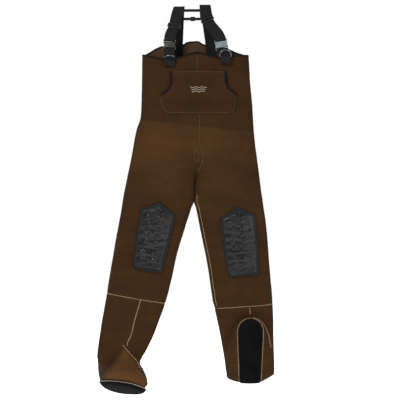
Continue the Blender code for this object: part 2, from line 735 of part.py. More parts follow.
def make_back_strap(side):
    """From the strap's top down inside the back panel."""
    x = STRAP_TOP_X[side]
    drift = BACK_STRAP_DRIFT[side]
    route = [(0.0, STRAP_TOP_Y, STRAP_TOP_Z[side]), (0.3, 0.0120, -0.045), (0.6, 0.0245, -0.095),
             (0.85, 0.0360, -0.140), (0.92, 0.0380, -0.158), (0.96, 0.0390, -0.185), (1.0, 0.0393, -0.225)]
    tilt = math.atan2(drift, -0.19)
    across = Vector((-math.cos(tilt), 0, -math.sin(tilt)))
    stations = [((x + drift * t, y, z), across) for t, y, z in route]
    ribbon(f"{side}_back_strap", stations, "webbing")


def buckle_frame(side):
    return hardware_frame(BUCKLE_POINT[side], BUCKLE_TILT[side])


def make_male_buckle(side):
    """The half on the strap: a slotted bar with a guide and two arms that enter the other half."""
    frame = buckle_frame(side)
    xs = [-0.0250, -0.0228, -0.0205, -0.0175, -0.0045, 0.0045, 0.0175, 0.0205, 0.0228, 0.0250]
    ys = [-0.0045, -0.0022, 0.0022, 0.0045]
    zs = [-0.0150, -0.0120, 0.0, 0.0040, 0.0105, 0.0140]

    def filled(x, y, z):
        across, out = abs(x), abs(y)
        if z > 0.0105:
            return out < 0.0022 or across > 0.0228
        if z > 0.0040:
            return across > 0.0228
        if z > 0:
            return True
        arm = 0.0175 < across < 0.0205 and out < 0.0022
        guide = across < 0.0045 and out < 0.0022 and z > -0.0120
        return arm or guide

    blocks(f"{side}_male_buckle", xs, ys, zs, filled, f"buckle_{SHADE[side]}", frame)


def make_female_buckle(side):
    """The half on the bib: a sleeve with side windows, and a bar for its webbing."""
    frame = buckle_frame(side)
    xs = [-0.0250, -0.0228, -0.0218, 0.0218, 0.0228, 0.0250]
    ys = [-0.0055, -0.0034, -0.0022, 0.0022, 0.0034, 0.0055]
    zs = [-0.0300, -0.0262, -0.0195, -0.0175, -0.0130, -0.0065, -0.0005]

    def filled(x, y, z):
        across, out = abs(x), abs(y)
        if z < -0.0262:
            return across > 0.0228 or out < 0.0022
        if z < -0.0195:
            return across > 0.0228 and out < 0.0034
        if z < -0.0175:
            return True
        if across < 0.0218 and out < 0.0034:
            return False
        window = -0.0130 < z < -0.0065 and across > 0.0218 and out < 0.0022
        return not window

    blocks(f"{side}_female_buckle", xs, ys, zs, filled, f"buckle_{SHADE[side]}", frame)


LOOP_START = {"right": 0.010, "left": 0.038}


def make_strap_loop(side):
    """The doubled webbing in front of the strap, from the adjuster round the buckle's bar."""
    frame = buckle_frame(side)
    tilt = ADJUSTER_TILT[side] - BUCKLE_TILT[side]
    head = frame.inverted() @ hardware_frame(ADJUSTER_POINT[side], 0).translation
    start = LOOP_START[side]
    head = Vector((head.x - start * math.sin(tilt), 0, head.z - start * math.cos(tilt)))
    level = -0.0046
    bulge = {"right": 0.0060, "left": 0.0016}[side]
    flat = (1, 0, 0)
    turned = (math.cos(tilt), 0, -math.sin(tilt))
    half = Vector(turned) + Vector(flat)
    stations = [
        ((head.x, level, head.z), turned),
        ((head.x * 0.72, level - bulge * 0.6, head.z * 0.78 + 0.003), Vector(turned) * 2 + Vector(flat)),
        ((head.x * 0.36, level - bulge, head.z * 0.52 + 0.006), half),
        ((head.x * 0.08, level - bulge * 0.7, 0.0235), flat),
        ((0, level - 0.0002, 0.0150), flat),
        ((0, -0.0040, 0.0098), flat),
        ((0, -0.0022, 0.0078), flat),
        ((0, 0.0, 0.0070), flat),
        ((0, 0.0022, 0.0078), flat),
        ((0, 0.0040, 0.0098), flat),
        ((0, 0.0044, 0.0150), flat),
        ((0, 0.0046, 0.0210), flat),
    ]
    ribbon(f"{side}_strap_loop", stations, "webbing", thickness=0.0018, width=0.0435,
           origin=frame.translation, frame=frame)


def make_adjuster(side):
    """A slide frame round the strap with a raised bar across its face."""
    frame = hardware_frame(ADJUSTER_POINT[side], ADJUSTER_TILT[side])
    slot_x, slot_y = STRAP_WIDTH / 2 + 0.0007, 0.0019
    edge = 0.0265
    xs = [-edge, -slot_x, slot_x, edge]
    ys = [-0.0062, -0.0040, -slot_y, slot_y, 0.0040]
    zs = [-0.0075, -0.0045, 0.0045, 0.0075]

    def filled(x, y, z):
        if abs(x) > slot_x:
            return -0.0040 < y
        if abs(y) < slot_y:
            return False
        if y < -0.0040:
            return abs(z) > 0.0045
        return y > 0 or abs(z) > 0.0045

    def joined(x, y, z):
        return filled(x, y, z) or (abs(x) > slot_x and abs(z) > 0.0045 and y < 0)

    blocks(f"{side}_adjuster", xs, ys, zs, joined, "adjuster_plastic", frame, bevel=0.0008)


def make_buckle_webbing(side):
    """The short webbing from the buckle's lower bar down the bib's front, behind the tab."""
    frame = buckle_frame(side)
    bar = -0.0281
    local = [(0.0046, bar - 0.0090), (0.0046, bar + 0.0002), (0.0036, bar + 0.0036), (0.0, bar + 0.0049),
             (-0.0036, bar + 0.0036), (-0.0046, bar + 0.0002), (-0.0044, bar - 0.0080)]
    across = frame.to_3x3() @ Vector((1, 0, 0))
    stations = [(frame @ Vector((0, y, z)), across) for y, z in local]
    x = TAB_X[side]
    back = TAB_BACK_Y
    top = TAB_TOP_Z[side]
    level = Vector((1, 0, 0))
    stations += [((x - 0.0006, back + 0.0012, top + 0.004), across + level),
                 ((x, back + 0.0014, top - 0.006), level), ((x, back + 0.0014, top - 0.022), level)]
    ribbon(f"{side}_buckle_webbing", stations, "webbing", thickness=0.0018, width=0.0425)


def tab_frame(side):
    return Matrix.Translation((TAB_X[side], TAB_BACK_Y - 0.0038, TAB_TOP_Z[side] - 0.0070))


def make_tab(side):
    """The sewn fold that holds the ring's bar in a channel."""
    channel = RING_WIRE + 0.0006
    half = 0.0205
    xs = [-half, half]
    ys = [-0.0040, -channel, channel, 0.0034]
    zs = [-0.0250, -channel, channel, 0.0040]
    blocks(f"{side}_strap_tab", xs, ys, zs,
           lambda x, y, z: not (abs(y) < channel and abs(z) < channel), "webbing", tab_frame(side))


def make_ring(side):
    """A D-ring: a straight bar on its hinge axis and a round bow above it."""
    frame = tab_frame(side)
    centre = frame.translation
    turn = Matrix.Rotation(RING_TILT[side], 3, "X")
    corner = 0.004
    arm = RING_RADIUS
    path = [Vector((x, 0, 0)) for x in np.linspace(-arm + corner, arm - corner, 4)]
    path += [Vector((arm - corner + corner * math.sin(a), 0, corner - corner * math.cos(a)))
             for a in (math.pi / 6, math.pi / 3, math.pi / 2)]
    bow = [(arm * math.cos(a), 0.006 + arm * 0.92 * math.sin(a))
           for a in np.linspace(0.12, math.pi - 0.12, 15)]
    path += [Vector((x, 0, z)) for x, z in bow]
    path += [Vector((-p.x, 0, p.z)) for p in reversed(path[4:7])]
    rings = []
    for i, point in enumerate(path):
        run = (path[(i + 1) % len(path)] - path[i - 1]).normalized()
        side_way = Vector((-run.z, 0, run.x))
        ring = []
        for k in range(8):
            a = 2 * math.pi * k / 8
            place = point + (side_way * math.cos(a) + Vector((0, 1, 0)) * math.sin(a)) * RING_WIRE
            ring.append(centre + turn @ place)
        rings.append(ring)
    sweep(f"{side}_d_ring", rings, "ring_metal", closed=True, origin=centre)


CROSS_TOP, CROSS_BOTTOM = -0.0220, -0.0560
CROSS_HALF = 0.0055
CROSS_THICKNESS = 0.0018
SLIDER_X = -0.0130


def make_cross_strap():
    """A flat loop of narrow webbing that ties the two shoulder straps together, between their layers."""
    low_x, high_x = -0.062, 0.028
    middle_z = (CROSS_TOP + CROSS_BOTTOM) / 2
    reach = (CROSS_TOP - CROSS_BOTTOM) / 2
    path = [Vector((x, 0, CROSS_TOP)) for x in np.linspace(low_x, high_x, 6)]
    path += [Vector((high_x + reach * 0.6 * math.sin(a), 0, middle_z + reach * math.cos(a)))
             for a in np.linspace(0, math.pi, 8)[1:-1]]
    path += [Vector((x, 0, CROSS_BOTTOM)) for x in np.linspace(high_x, low_x, 6)]
    path += [Vector((low_x - reach * 0.6 * math.sin(a), 0, middle_z - reach * math.cos(a)))
             for a in np.linspace(0, math.pi, 8)[1:-1]]
    rings = []
    for i, point in enumerate(path):
        run = (path[(i + 1) % len(path)] - path[i - 1]).normalized()
        side_way = Vector((-run.z, 0, run.x)) * CROSS_HALF
        out = Vector((0, CROSS_THICKNESS / 2, 0))
        rings.append([point + side_way + out, point - side_way + out, point - side_way - out,
                      point + side_way - out])
    sweep("cross_strap", rings, "webbing", closed=True)


def make_cross_slider():
    """The small slide on the loop's lower run."""
    frame = Matrix.Translation((SLIDER_X, 0, CROSS_BOTTOM))
    slot_z, slot_y = CROSS_HALF + 0.0006, CROSS_THICKNESS / 2 + 0.0005
    xs = [-0.0090, -0.0060, -0.0015, 0.0015, 0.0060, 0.0090]
    ys = [-0.0034, -slot_y, slot_y, 0.0034]
    zs = [-0.0085, -slot_z, slot_z, 0.0085]

    def filled(x, y, z):
        if abs(z) > slot_z:
            return True
        if abs(y) < slot_y:
            return False
        return y > 0 or abs(x) > 0.0060 or abs(x) < 0.0015

    blocks("cross_strap_slider", xs, ys, zs, filled, "slider_plastic", frame, bevel=0.0005)


# Assembly

SHADE = {"right": "dark", "left": "light"}


def make_materials():
    made = {}
    for name, (colour, roughness, metallic) in COLOURS.items():
        made[name] = bpy.data.materials.new(name)
        made[name].use_nodes = True
        shader = made[name].node_tree.nodes["Principled BSDF"]
        shader.inputs["Base Color"].default_value = (*colour, 1)
        shader.inputs["Roughness"].default_value = roughness
        shader.inputs["Metallic"].default_value = metallic
    return made


for old in list(bpy.data.objects):
    bpy.data.objects.remove(old, do_unlink=True)
MATERIALS = make_materials()

front = front_finder()
for half in ("right", "left"):
    make_half_panel(half)
    make_lower_leg(half)
    make_knee_pad(half, front)
    make_pocket_binding(half, front)
    make_front_strap(half)
    make_back_strap(half)
    make_strap_loop(half)
    make_male_buckle(half)
    make_female_buckle(half)
    make_adjuster(half)
    make_buckle_webbing(half)
    make_tab(half)
    make_ring(half)
make_right_foot()
make_left_foot()
make_top_binding()
make_pocket(front)
make_gusset(front)
make_cross_strap()
make_cross_slider()
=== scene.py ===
"""Chest waders: the neoprene, webbing and hardware that show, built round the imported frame."""

import json
import math

import bmesh
import bpy
import numpy as np
from mathutils import Matrix, Vector
from mathutils.bvhtree import BVHTree

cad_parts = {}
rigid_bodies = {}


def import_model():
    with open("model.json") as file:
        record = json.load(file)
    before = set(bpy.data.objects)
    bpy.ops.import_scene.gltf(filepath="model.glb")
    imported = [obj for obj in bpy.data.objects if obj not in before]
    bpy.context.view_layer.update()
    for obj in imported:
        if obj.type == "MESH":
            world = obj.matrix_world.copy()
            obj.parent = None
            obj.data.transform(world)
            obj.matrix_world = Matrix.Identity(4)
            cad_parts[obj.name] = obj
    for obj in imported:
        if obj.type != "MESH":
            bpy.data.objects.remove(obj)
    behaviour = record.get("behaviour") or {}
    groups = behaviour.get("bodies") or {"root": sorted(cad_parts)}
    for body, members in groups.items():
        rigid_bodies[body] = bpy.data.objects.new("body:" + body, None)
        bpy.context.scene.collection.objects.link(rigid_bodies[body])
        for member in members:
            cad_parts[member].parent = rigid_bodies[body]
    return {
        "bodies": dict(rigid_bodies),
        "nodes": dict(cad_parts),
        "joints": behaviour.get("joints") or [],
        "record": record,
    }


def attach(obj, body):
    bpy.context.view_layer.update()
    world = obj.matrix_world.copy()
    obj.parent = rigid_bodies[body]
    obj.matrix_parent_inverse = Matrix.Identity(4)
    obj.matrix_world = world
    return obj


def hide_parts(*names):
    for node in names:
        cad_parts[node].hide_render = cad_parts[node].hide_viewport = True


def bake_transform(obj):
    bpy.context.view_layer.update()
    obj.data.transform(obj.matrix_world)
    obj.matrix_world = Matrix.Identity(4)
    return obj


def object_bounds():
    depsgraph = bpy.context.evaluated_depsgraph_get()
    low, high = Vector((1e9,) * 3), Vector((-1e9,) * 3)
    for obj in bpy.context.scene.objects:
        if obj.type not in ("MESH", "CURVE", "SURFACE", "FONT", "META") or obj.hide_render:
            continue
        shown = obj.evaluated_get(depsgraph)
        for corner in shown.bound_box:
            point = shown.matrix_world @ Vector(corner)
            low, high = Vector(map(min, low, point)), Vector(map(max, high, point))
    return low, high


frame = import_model()
CAD_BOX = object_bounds()
SCENE = bpy.context.scene

# Driving sizes, in metres, the same as the CAD's

WALL = 0.005
CROTCH_TOP = -0.585
CROTCH_BOTTOM = -0.725
KNEE_Z = -0.940
CROSS_SEAM_Z = {"right": -1.172, "left": -1.204}
ANKLE_Z = {"right": -1.415, "left": -1.459}
STRAP_WIDTH = 0.044
STRAP_TOP_Y = 0.0020
STRAP_LEAN = 0.235
STRAP_TOP_X = {"right": -0.0675, "left": 0.036}
STRAP_TOP_Z = {"right": -0.0075, "left": -0.0010}
BUCKLE_POINT = {"right": (-0.105, -0.157), "left": (0.100, -0.157)}
BUCKLE_TILT = {"right": math.radians(1), "left": math.radians(-9)}
ADJUSTER_POINT = {"right": (-0.0868, -0.0875), "left": (0.0460, -0.0620)}
ADJUSTER_TILT = {"right": math.radians(12), "left": math.radians(-31)}
TAB_X = {"right": -0.104, "left": 0.1165}
TAB_BACK_Y = -0.0560
TAB_TOP_Z = {"right": -0.2170, "left": -0.2065}
RING_TILT = {"right": math.radians(62), "left": math.radians(14)}
RING_RADIUS = 0.0228
RING_WIRE = 0.0019
LOOP_START = {"right": 0.010, "left": 0.038}
SIDES = ("right", "left")
LEAN_ANGLE = math.atan(STRAP_LEAN)
JOINED_ABOVE = -0.640
ROW_STEP = 0.006
TURN = np.arange(112) / 112
HEM_DEPTH, HEM_REACH = 0.0010, 0.0025
FORWARD = np.array((0, -1.0, 0))
UP = np.array((0, 0, 1.0))

OUTER = {
    "right": [(-0.19, -0.214), (-0.45, -0.220), (-0.50, -0.237), (-0.70, -0.277), (-0.83, -0.302),
              (-0.94, -0.322), (-1.05, -0.341), (-1.16, -0.358), (-1.29, -0.380), (-1.39, -0.394),
              (-1.42, -0.395)],
    "left": [(-0.19, 0.209), (-0.29, 0.214), (-0.37, 0.222), (-0.50, 0.232), (-0.74, 0.260),
             (-0.87, 0.280), (-1.10, 0.299), (-1.18, 0.306), (-1.36, 0.311), (-1.48, 0.314)],
}
INNER = {
    "right": [(-0.78, -0.010), (-0.90, -0.046), (-1.01, -0.077), (-1.14, -0.108), (-1.20, -0.126),
              (-1.31, -0.166), (-1.38, -0.198), (-1.42, -0.222)],
    "left": [(-0.78, -0.008), (-0.90, 0.016), (-1.04, 0.044), (-1.18, 0.066), (-1.21, 0.075),
             (-1.36, 0.104), (-1.48, 0.122)],
}
CENTRE = [(-0.19, 0.006), (-0.26, 0.006), (-0.44, 0.012), (-0.57, 0.014), (-0.64, 0.005), (-0.78, -0.009)]
SLOPE = {
    "right": [(-0.62, 0.0), (-0.94, -0.15), (-1.20, -0.17), (-1.40, -0.06)],
    "left": [(-0.62, 0.0), (-0.94, 0.10), (-1.20, 0.07), (-1.40, 0.0)],
}
HALF_DEPTH = [(-0.19, 0.050), (-0.45, 0.062), (-0.60, 0.062), (-0.78, 0.056), (-0.94, 0.046),
              (-1.20, 0.040), (-1.40, 0.039), (-1.50, 0.038)]
ROUNDNESS = [(-0.20, 2.9), (-0.60, 2.8), (-0.80, 2.4), (-1.40, 2.3)]
FRONT_EDGE = [(-0.215, -0.199), (-0.175, -0.208), (-0.142, -0.215), (-0.078, -0.215), (-0.042, -0.204),
              (-0.007, -0.194), (0.022, -0.194), (0.058, -0.205), (0.093, -0.210), (0.143, -0.206),
              (0.209, -0.201)]
BACK_EDGE = [(-0.215, -0.199), (-0.200, -0.193), (-0.164, -0.170), (-0.132, -0.158), (-0.055, -0.152),
             (-0.036, -0.142), (-0.014, -0.139), (0.011, -0.139), (0.029, -0.150), (0.129, -0.170),
             (0.164, -0.185), (0.209, -0.201)]

# Curves, noise and grids


def along(points, value):
    """A smooth curve through (position, value) pairs, with the slopes of its neighbours at each."""
    at, level = np.array(sorted(points), float).T
    slope = np.empty(len(at))
    slope[1:-1] = (level[2:] - level[:-2]) / (at[2:] - at[:-2])
    slope[0] = (level[1] - level[0]) / (at[1] - at[0])
    slope[-1] = (level[-1] - level[-2]) / (at[-1] - at[-2])
    value = np.clip(value, at[0], at[-1])
    i = np.clip(np.searchsorted(at, value, side="right") - 1, 0, len(at) - 2)
    width = at[i + 1] - at[i]
    t = (value - at[i]) / width
    rise = level[i] * (2 * t**3 - 3 * t**2 + 1) + level[i + 1] * (3 * t**2 - 2 * t**3)
    return rise + width * (slope[i] * (t**3 - 2 * t**2 + t) + slope[i + 1] * (t**3 - t**2))


def smooth(low, high, value):
    t = np.clip((value - low) / (high - low), 0, 1)
    return t * t * (3 - 2 * t)


def hump(value, middle, width):
    return np.exp(-(((value - middle) / width) ** 2))


def rounded(angle, power):
    """Points of the unit superellipse: round at power 2, and squarer as the power grows."""
    x, y = np.cos(angle), np.sin(angle)
    size = (np.abs(x) ** power + np.abs(y) ** power) ** (1 / power)
    return x / size, y / size


def noise(points, scale, seed):
    """Smooth noise from -1 to 1 with features of about the scale given, in metres."""
    q = np.asarray(points, float) / np.asarray(scale, float) + seed * 19.17
    cell = np.floor(q).astype(np.int64)
    f = q - cell
    f = f * f * (3 - 2 * f)
    total = np.zeros(q.shape[:-1])
    for dx in (0, 1):
        for dy in (0, 1):
            for dz in (0, 1):
                key = (cell[..., 0] + dx) * 73856093 ^ (cell[..., 1] + dy) * 19349663
                key = (key ^ (cell[..., 2] + dz) * 83492791) * 2654435761 & 0xFFFFFFFF
                key = (key ^ key >> 15) * 2246822519 & 0xFFFFFFFF
                weight = np.abs(1 - dx - f[..., 0]) * np.abs(1 - dy - f[..., 1]) * np.abs(1 - dz - f[..., 2])
                total += weight * ((key >> 8 & 0xFFFF) / 32767.5 - 1)
    return total


def unit(v):
    return v / np.maximum(np.linalg.norm(v, axis=-1, keepdims=True), 1e-12)


def grid_normals(grid, closed, outward):
    """Each point's normal on a grid of points, turned the way of the outward points given."""
    if closed:
        across = np.roll(grid, -1, 1) - np.roll(grid, 1, 1)
    else:
        across = np.gradient(grid, axis=1)
    normal = unit(np.cross(across, np.gradient(grid, axis=0)))
    facing = np.sum(normal * outward, axis=-1)
    return normal * (1 if np.mean(facing) > 0 else -1)


def travelled(path):
    """How far along a path each of its points is. Columns after the third are no part of a place."""
    return np.concatenate([[0], np.cumsum(np.linalg.norm(np.diff(path[:, :3], axis=0), axis=1))])


def resample(path, at, length):
    return np.stack([np.interp(at, length, column) for column in path.T], 1)


def spline(points, count):
    """Points evenly spread along a smooth curve through the ones given, whatever their dimension."""
    p = np.asarray(points, float)
    p = np.concatenate([2 * p[:1] - p[1:2], p, 2 * p[-1:] - p[-2:-1]])
    fine = []
    steps = np.linspace(0, 1, 13)[:-1][:, None]
    for i in range(1, len(p) - 2):
        a, b, c, d = p[i - 1:i + 3]
        fine.append(0.5 * (2 * b + (c - a) * steps + (2 * a - 5 * b + 4 * c - d) * steps**2
                           + (3 * b - a - 3 * c + d) * steps**3))
    fine = np.concatenate([*fine, p[-2:-1]])
    length = travelled(fine)
    return resample(fine, np.linspace(0, length[-1], count), length)


def spread(path, pitch):
    """The same polyline with its points a pitch apart, with any extra columns carried along."""
    path = np.asarray(path, float)
    length = travelled(path)
    return resample(path, np.arange(0, length[-1], pitch), length)


def ellipse(sides, power):
    return rounded(np.arange(sides) * 2 * math.pi / sides, power)


def profile(path, side_way, up_way, x, y):
    """Rings of a profile along a path: x runs each point's side way and y its up way."""
    return path[:, None] + side_way[:, None] * x[..., None] + up_way[..., None, :] * y[..., None]


def loop_sides(path):
    """The way across each point of a closed path that lies in the front view."""
    run = unit(np.roll(path, -1, 0) - np.roll(path, 1, 0))
    return np.stack([-run[:, 2], 0 * run[:, 0], run[:, 0]], 1)


def closing(ring, sizes):
    """Smaller copies of a ring that close its end."""
    middle = ring.mean(0)
    return [middle + (ring - middle) * size for size in sizes]


def mirrored(*values):
    return [-value for value in reversed(values)] + list(values)


# Mesh building


def grid_faces(rows, columns, start=0, closed=False):
    r = np.arange(rows - 1)[:, None]
    c = np.arange(columns if closed else columns - 1)[None, :]
    a = start + r * columns + c
    b = start + r * columns + (c + 1) % columns
    return np.stack([a, b, b + columns, a + columns], -1).reshape(-1, 4).tolist()


def new_object(name, points, faces, materials, marks=None, uv=None):
    """A smooth mesh object whose normals face out. marks gives each face's material number."""
    mesh = bpy.data.meshes.new(name)
    mesh.from_pydata(np.asarray(points, float).reshape(-1, 3).tolist(), [], faces)
    for one in materials if isinstance(materials, (list, tuple)) else [materials]:
        mesh.materials.append(one)
    if marks is not None:
        mesh.polygons.foreach_set("material_index", np.asarray(marks, np.int32))
    if uv is not None:
        layer = mesh.uv_layers.new(name="cloth")
        corner = np.empty(len(mesh.loops), np.int32)
        mesh.loops.foreach_get("vertex_index", corner)
        layer.data.foreach_set("uv", np.asarray(uv, np.float32)[corner].ravel())
    work = bmesh.new()
    work.from_mesh(mesh)
    bmesh.ops.recalc_face_normals(work, faces=work.faces)
    work.to_mesh(mesh)
    work.free()
    mesh.polygons.foreach_set("use_smooth", np.ones(len(mesh.polygons), bool))
    obj = bpy.data.objects.new(name, mesh)
    SCENE.collection.objects.link(obj)
    return obj


def skin(name, outer, inner, materials, closed=False, cap=False, marks=None):
    """The closed solid between two grids. A closed one is a tube, and a capped one ends in a point."""
    rows, columns = outer.shape[:2]
    far = rows * columns
    faces = grid_faces(rows, columns, 0, closed) + grid_faces(rows, columns, far, closed)
    for r in [0] if cap else [0, rows - 1]:
        for c in range(columns if closed else columns - 1):
            a, b = r * columns + c, r * columns + (c + 1) % columns
            faces.append((a, b, far + b, far + a))
    if cap:
        last = (rows - 1) * columns
        faces += [tuple(range(last, last + columns)), tuple(range(far + last, far + last + columns))]
    if not closed:
        for r in range(rows - 1):
            for c in (0, columns - 1):
                a, b = r * columns + c, (r + 1) * columns + c
                faces.append((a, b, far + b, far + a))
    if marks is not None:
        marks = np.concatenate([marks, marks, np.full(len(faces) - 2 * len(marks), marks[0])])
    points = np.concatenate([outer.reshape(-1, 3), inner.reshape(-1, 3)])
    return new_object(name, points, faces, materials, marks)


def sweep(name, rings, materials, closed=False, uv=None):
    """A solid through rings of points, with flat ends unless it closes on itself."""
    rows, columns = rings.shape[:2]
    faces = grid_faces(rows, columns, 0, True)
    last = (rows - 1) * columns
    if closed:
        faces += [(last + c, last + (c + 1) % columns, (c + 1) % columns, c) for c in range(columns)]
    else:
        faces += [tuple(range(columns)), tuple(range(last, last + columns))]
    return new_object(name, rings, faces, materials, uv=uv)


def cloth_uv(x, reach):
    """Flat places on a strap, in metres: x across it and reach along it."""
    return np.stack(np.broadcast_arrays(x[None, :], reach[:, None]), -1).reshape(-1, 2)


def stand_for(obj, slot, body, *nodes):
    """Put a piece in the place of CAD nodes, on the body that carries it. The slot is not used."""
    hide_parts(*nodes)
    if body is not None:
        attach(obj, body)


# Materials


class Nodes:
    """A short way to wire a material's nodes."""

    def __init__(self, name, colour, roughness, metallic=0.0, sheen=0.0, coat=0.0, specular=0.5):
        self.material = bpy.data.materials.new(name)
        self.material.use_nodes = True
        self.tree = self.material.node_tree
        self.shader = self.tree.nodes["Principled BSDF"]
        self.shader.inputs["Base Color"].default_value = (*colour, 1)
        self.shader.inputs["Roughness"].default_value = roughness
        self.shader.inputs["Metallic"].default_value = metallic
        self.shader.inputs["Sheen Weight"].default_value = sheen
        self.shader.inputs["Sheen Roughness"].default_value = 0.5
        self.shader.inputs["Coat Weight"].default_value = coat
        self.shader.inputs["Specular IOR Level"].default_value = specular

    def node(self, kind, settings=(), **inputs):
        made = self.tree.nodes.new(kind)
        for key, value in dict(settings).items():
            setattr(made, key, value)
        for key, value in inputs.items():
            socket = made.inputs[int(key[1:])] if key[0] == "i" and key[1:].isdigit() else made.inputs[key]
            if isinstance(value, bpy.types.NodeSocket):
                self.tree.links.new(value, socket)
            else:
                socket.default_value = value
        return made

    def place(self, uv=False, scale=(1, 1, 1)):
        source = self.node("ShaderNodeTexCoord").outputs["UV" if uv else "Object"]
        return self.node("ShaderNodeMapping", Vector=source, Scale=scale).outputs[0]

    def noise(self, where, scale, detail=3.0, rough=0.55):
        return self.node("ShaderNodeTexNoise", Vector=where, Scale=scale, Detail=detail,
                         Roughness=rough).outputs[0]

    def cells(self, where, scale):
        return self.node("ShaderNodeTexVoronoi", Vector=where, Scale=scale).outputs[0]

    def wave(self, where, scale, distortion=0.0, direction="X"):
        return self.node("ShaderNodeTexWave", {"bands_direction": direction, "wave_profile": "SIN"},
                         Vector=where, Scale=scale, Distortion=distortion).outputs[1]

    def maths(self, operation, a, b):
        return self.node("ShaderNodeMath", {"operation": operation}, i0=a, i1=b).outputs[0]

    def weighted(self, *terms):
        """The sum of two sockets, each times its weight."""
        parts = [self.maths("MULTIPLY", socket, weight) for socket, weight in terms]
        return self.maths("ADD", *parts)

    def greys(self, value, stops):
        return self.ramp(value, [(position, (grey,) * 3) for position, grey in stops])

    def ramp(self, value, stops):
        made = self.node("ShaderNodeValToRGB", i0=value)
        band = made.color_ramp
        while len(band.elements) < len(stops):
            band.elements.new(0.5)
        for element, (position, colour) in zip(band.elements, stops):
            element.position = position
            element.color = (*colour, 1) if len(colour) == 3 else colour
        return made.outputs[0]

    def colour(self, socket):
        self.tree.links.new(socket, self.shader.inputs["Base Color"])

    def roughness(self, value, low, high):
        span = self.node("ShaderNodeMapRange", i0=value)
        span.inputs[3].default_value = low
        span.inputs[4].default_value = high
        self.tree.links.new(span.outputs[0], self.shader.inputs["Roughness"])

    def bump(self, height, depth, strength=1.0):
        made = self.node("ShaderNodeBump", Height=height, Distance=depth, Strength=strength)
        self.tree.links.new(made.outputs[0], self.shader.inputs["Normal"])


# Painted shade and light in bands down the body, where its folds take the light: places on a line of z +
# PAINTED_SHADE_LEAN x + 1, and a level of grey there
PAINTED_SHADE_LEAN = 0.11
PAINTED_SHADE_BANDS = [(0.0, 0.5), (0.10, 0.44), (0.36, 0.60), (0.44, 0.62), (0.508, 0.68), (0.520, 0.40), (0.62, 0.36),
         (1.0, 0.36)]
# The painted light on the right foot, paler where its instep faces up to the light, lies beyond one line of
# the front view and short of another.
# Each is given by what x and z are multiplied by, and what is then added.
PAINTED_LIGHT_BEYOND = (0.809, -0.587, -0.5665)
PAINTED_LIGHT_SHORT_OF = (0.763, 0.646, 1.0996)


def neoprene(name, dark, mid, light):
    """Jersey-faced foam: a fine knit, soft mottling, bands of painted shade and light down the body, and
    painted light on the right foot.
    """
    n = Nodes(name, mid, 0.88, sheen=0.02, specular=0.06)
    where = n.place()
    streaks = n.noise(n.place(scale=(1.3, 1.3, 7.0)), 2.2, 3.0, 0.5)
    mottle = n.weighted((n.noise(where, 9.0, 5.0, 0.6), 0.5), (streaks, 0.5))
    fine = n.noise(where, 160.0, 2.0)
    knit = n.cells(where, 1500.0)
    shade = n.weighted((mottle, 0.72), (fine, 0.28))
    x, _, z = n.node("ShaderNodeSeparateXYZ", Vector=where).outputs
    # Painted shade and light: darker and paler bands down the body, where its folds take the light.
    painted_bands = n.greys(n.maths("ADD", n.weighted((x, PAINTED_SHADE_LEAN), (z, 1.0)), 1.0), PAINTED_SHADE_BANDS)
    shade = n.maths("ADD", shade, n.maths("MULTIPLY", n.maths("SUBTRACT", painted_bands, 0.5), 0.60))
    # Painted light: the right foot's instep is made paler where it faces up to the light.
    a, b, c = PAINTED_LIGHT_BEYOND
    wear_and_painted_light = n.greys(n.maths("ADD", n.weighted((x, a), (z, b)), c), [(0.0, 0.0), (0.022, 1.0)])
    a, b, c = PAINTED_LIGHT_SHORT_OF
    inside = n.greys(n.maths("ADD", n.weighted((x, a), (z, b)), c + 0.5), [(0.492, 1.0), (0.500, 0.0)])
    shade = n.maths("ADD", shade, n.maths("MULTIPLY", n.maths("MULTIPLY", wear_and_painted_light, inside), 0.42))
    brightest = tuple(1.5 * c for c in light)
    n.colour(n.ramp(shade, [(0.30, dark), (0.52, mid), (0.74, light), (0.96, brightest)]))
    n.roughness(mottle, 0.80, 0.96)
    n.bump(n.weighted((knit, 0.7), (fine, 1.0)), 0.0005, 0.55)
    return n.material


def webbing(name, dark, light):
    """Woven ribs that run along the strap, with a herringbone between them."""
    n = Nodes(name, light, 0.72, sheen=0.02, specular=0.12)
    where = n.place(uv=True)
    ribs = n.wave(where, 110.0, 0.0, "X")
    twill = n.wave(where, 300.0, 0.0, "DIAGONAL")
    wear = n.noise(n.place(), 60.0, 4.0)
    weave = n.maths("MULTIPLY", n.maths("ADD", ribs, twill), 0.5)
    shade = n.weighted((weave, 0.6), (wear, 0.4))
    n.colour(n.ramp(shade, [(0.25, dark), (0.75, light)]))
    n.roughness(wear, 0.62, 0.85)
    n.bump(weave, 0.0006, 0.8)
    return n.material


def moulded(name, dark, light, rough, coat):
    """Injection-moulded plastic with faint flow marks and scuffs."""
    n = Nodes(name, light, rough, coat=coat, specular=0.35)
    where = n.place()
    flow = n.noise(where, 45.0, 4.0)
    grain = n.noise(where, 900.0, 2.0)
    n.colour(n.ramp(flow, [(0.3, dark), (0.7, light)]))
    n.roughness(flow, rough * 0.75, rough * 1.35)
    n.bump(grain, 0.0001, 0.5)
    return n.material


def rubber(name, dark, light, rough, scale, shine=0.3):
    """Stippled rubber with rubbed patches."""
    n = Nodes(name, dark, rough, specular=shine)
    where = n.place()
    stipple = n.cells(where, scale)
    wear_and_painted_light = n.noise(where, 28.0, 5.0)
    n.colour(n.ramp(wear_and_painted_light, [(0.35, dark), (0.75, light)]))
    n.roughness(wear_and_painted_light, rough * 0.8, rough * 1.25)
    n.bump(n.maths("ADD", stipple, wear_and_painted_light), 0.0006, 0.5)
    return n.material


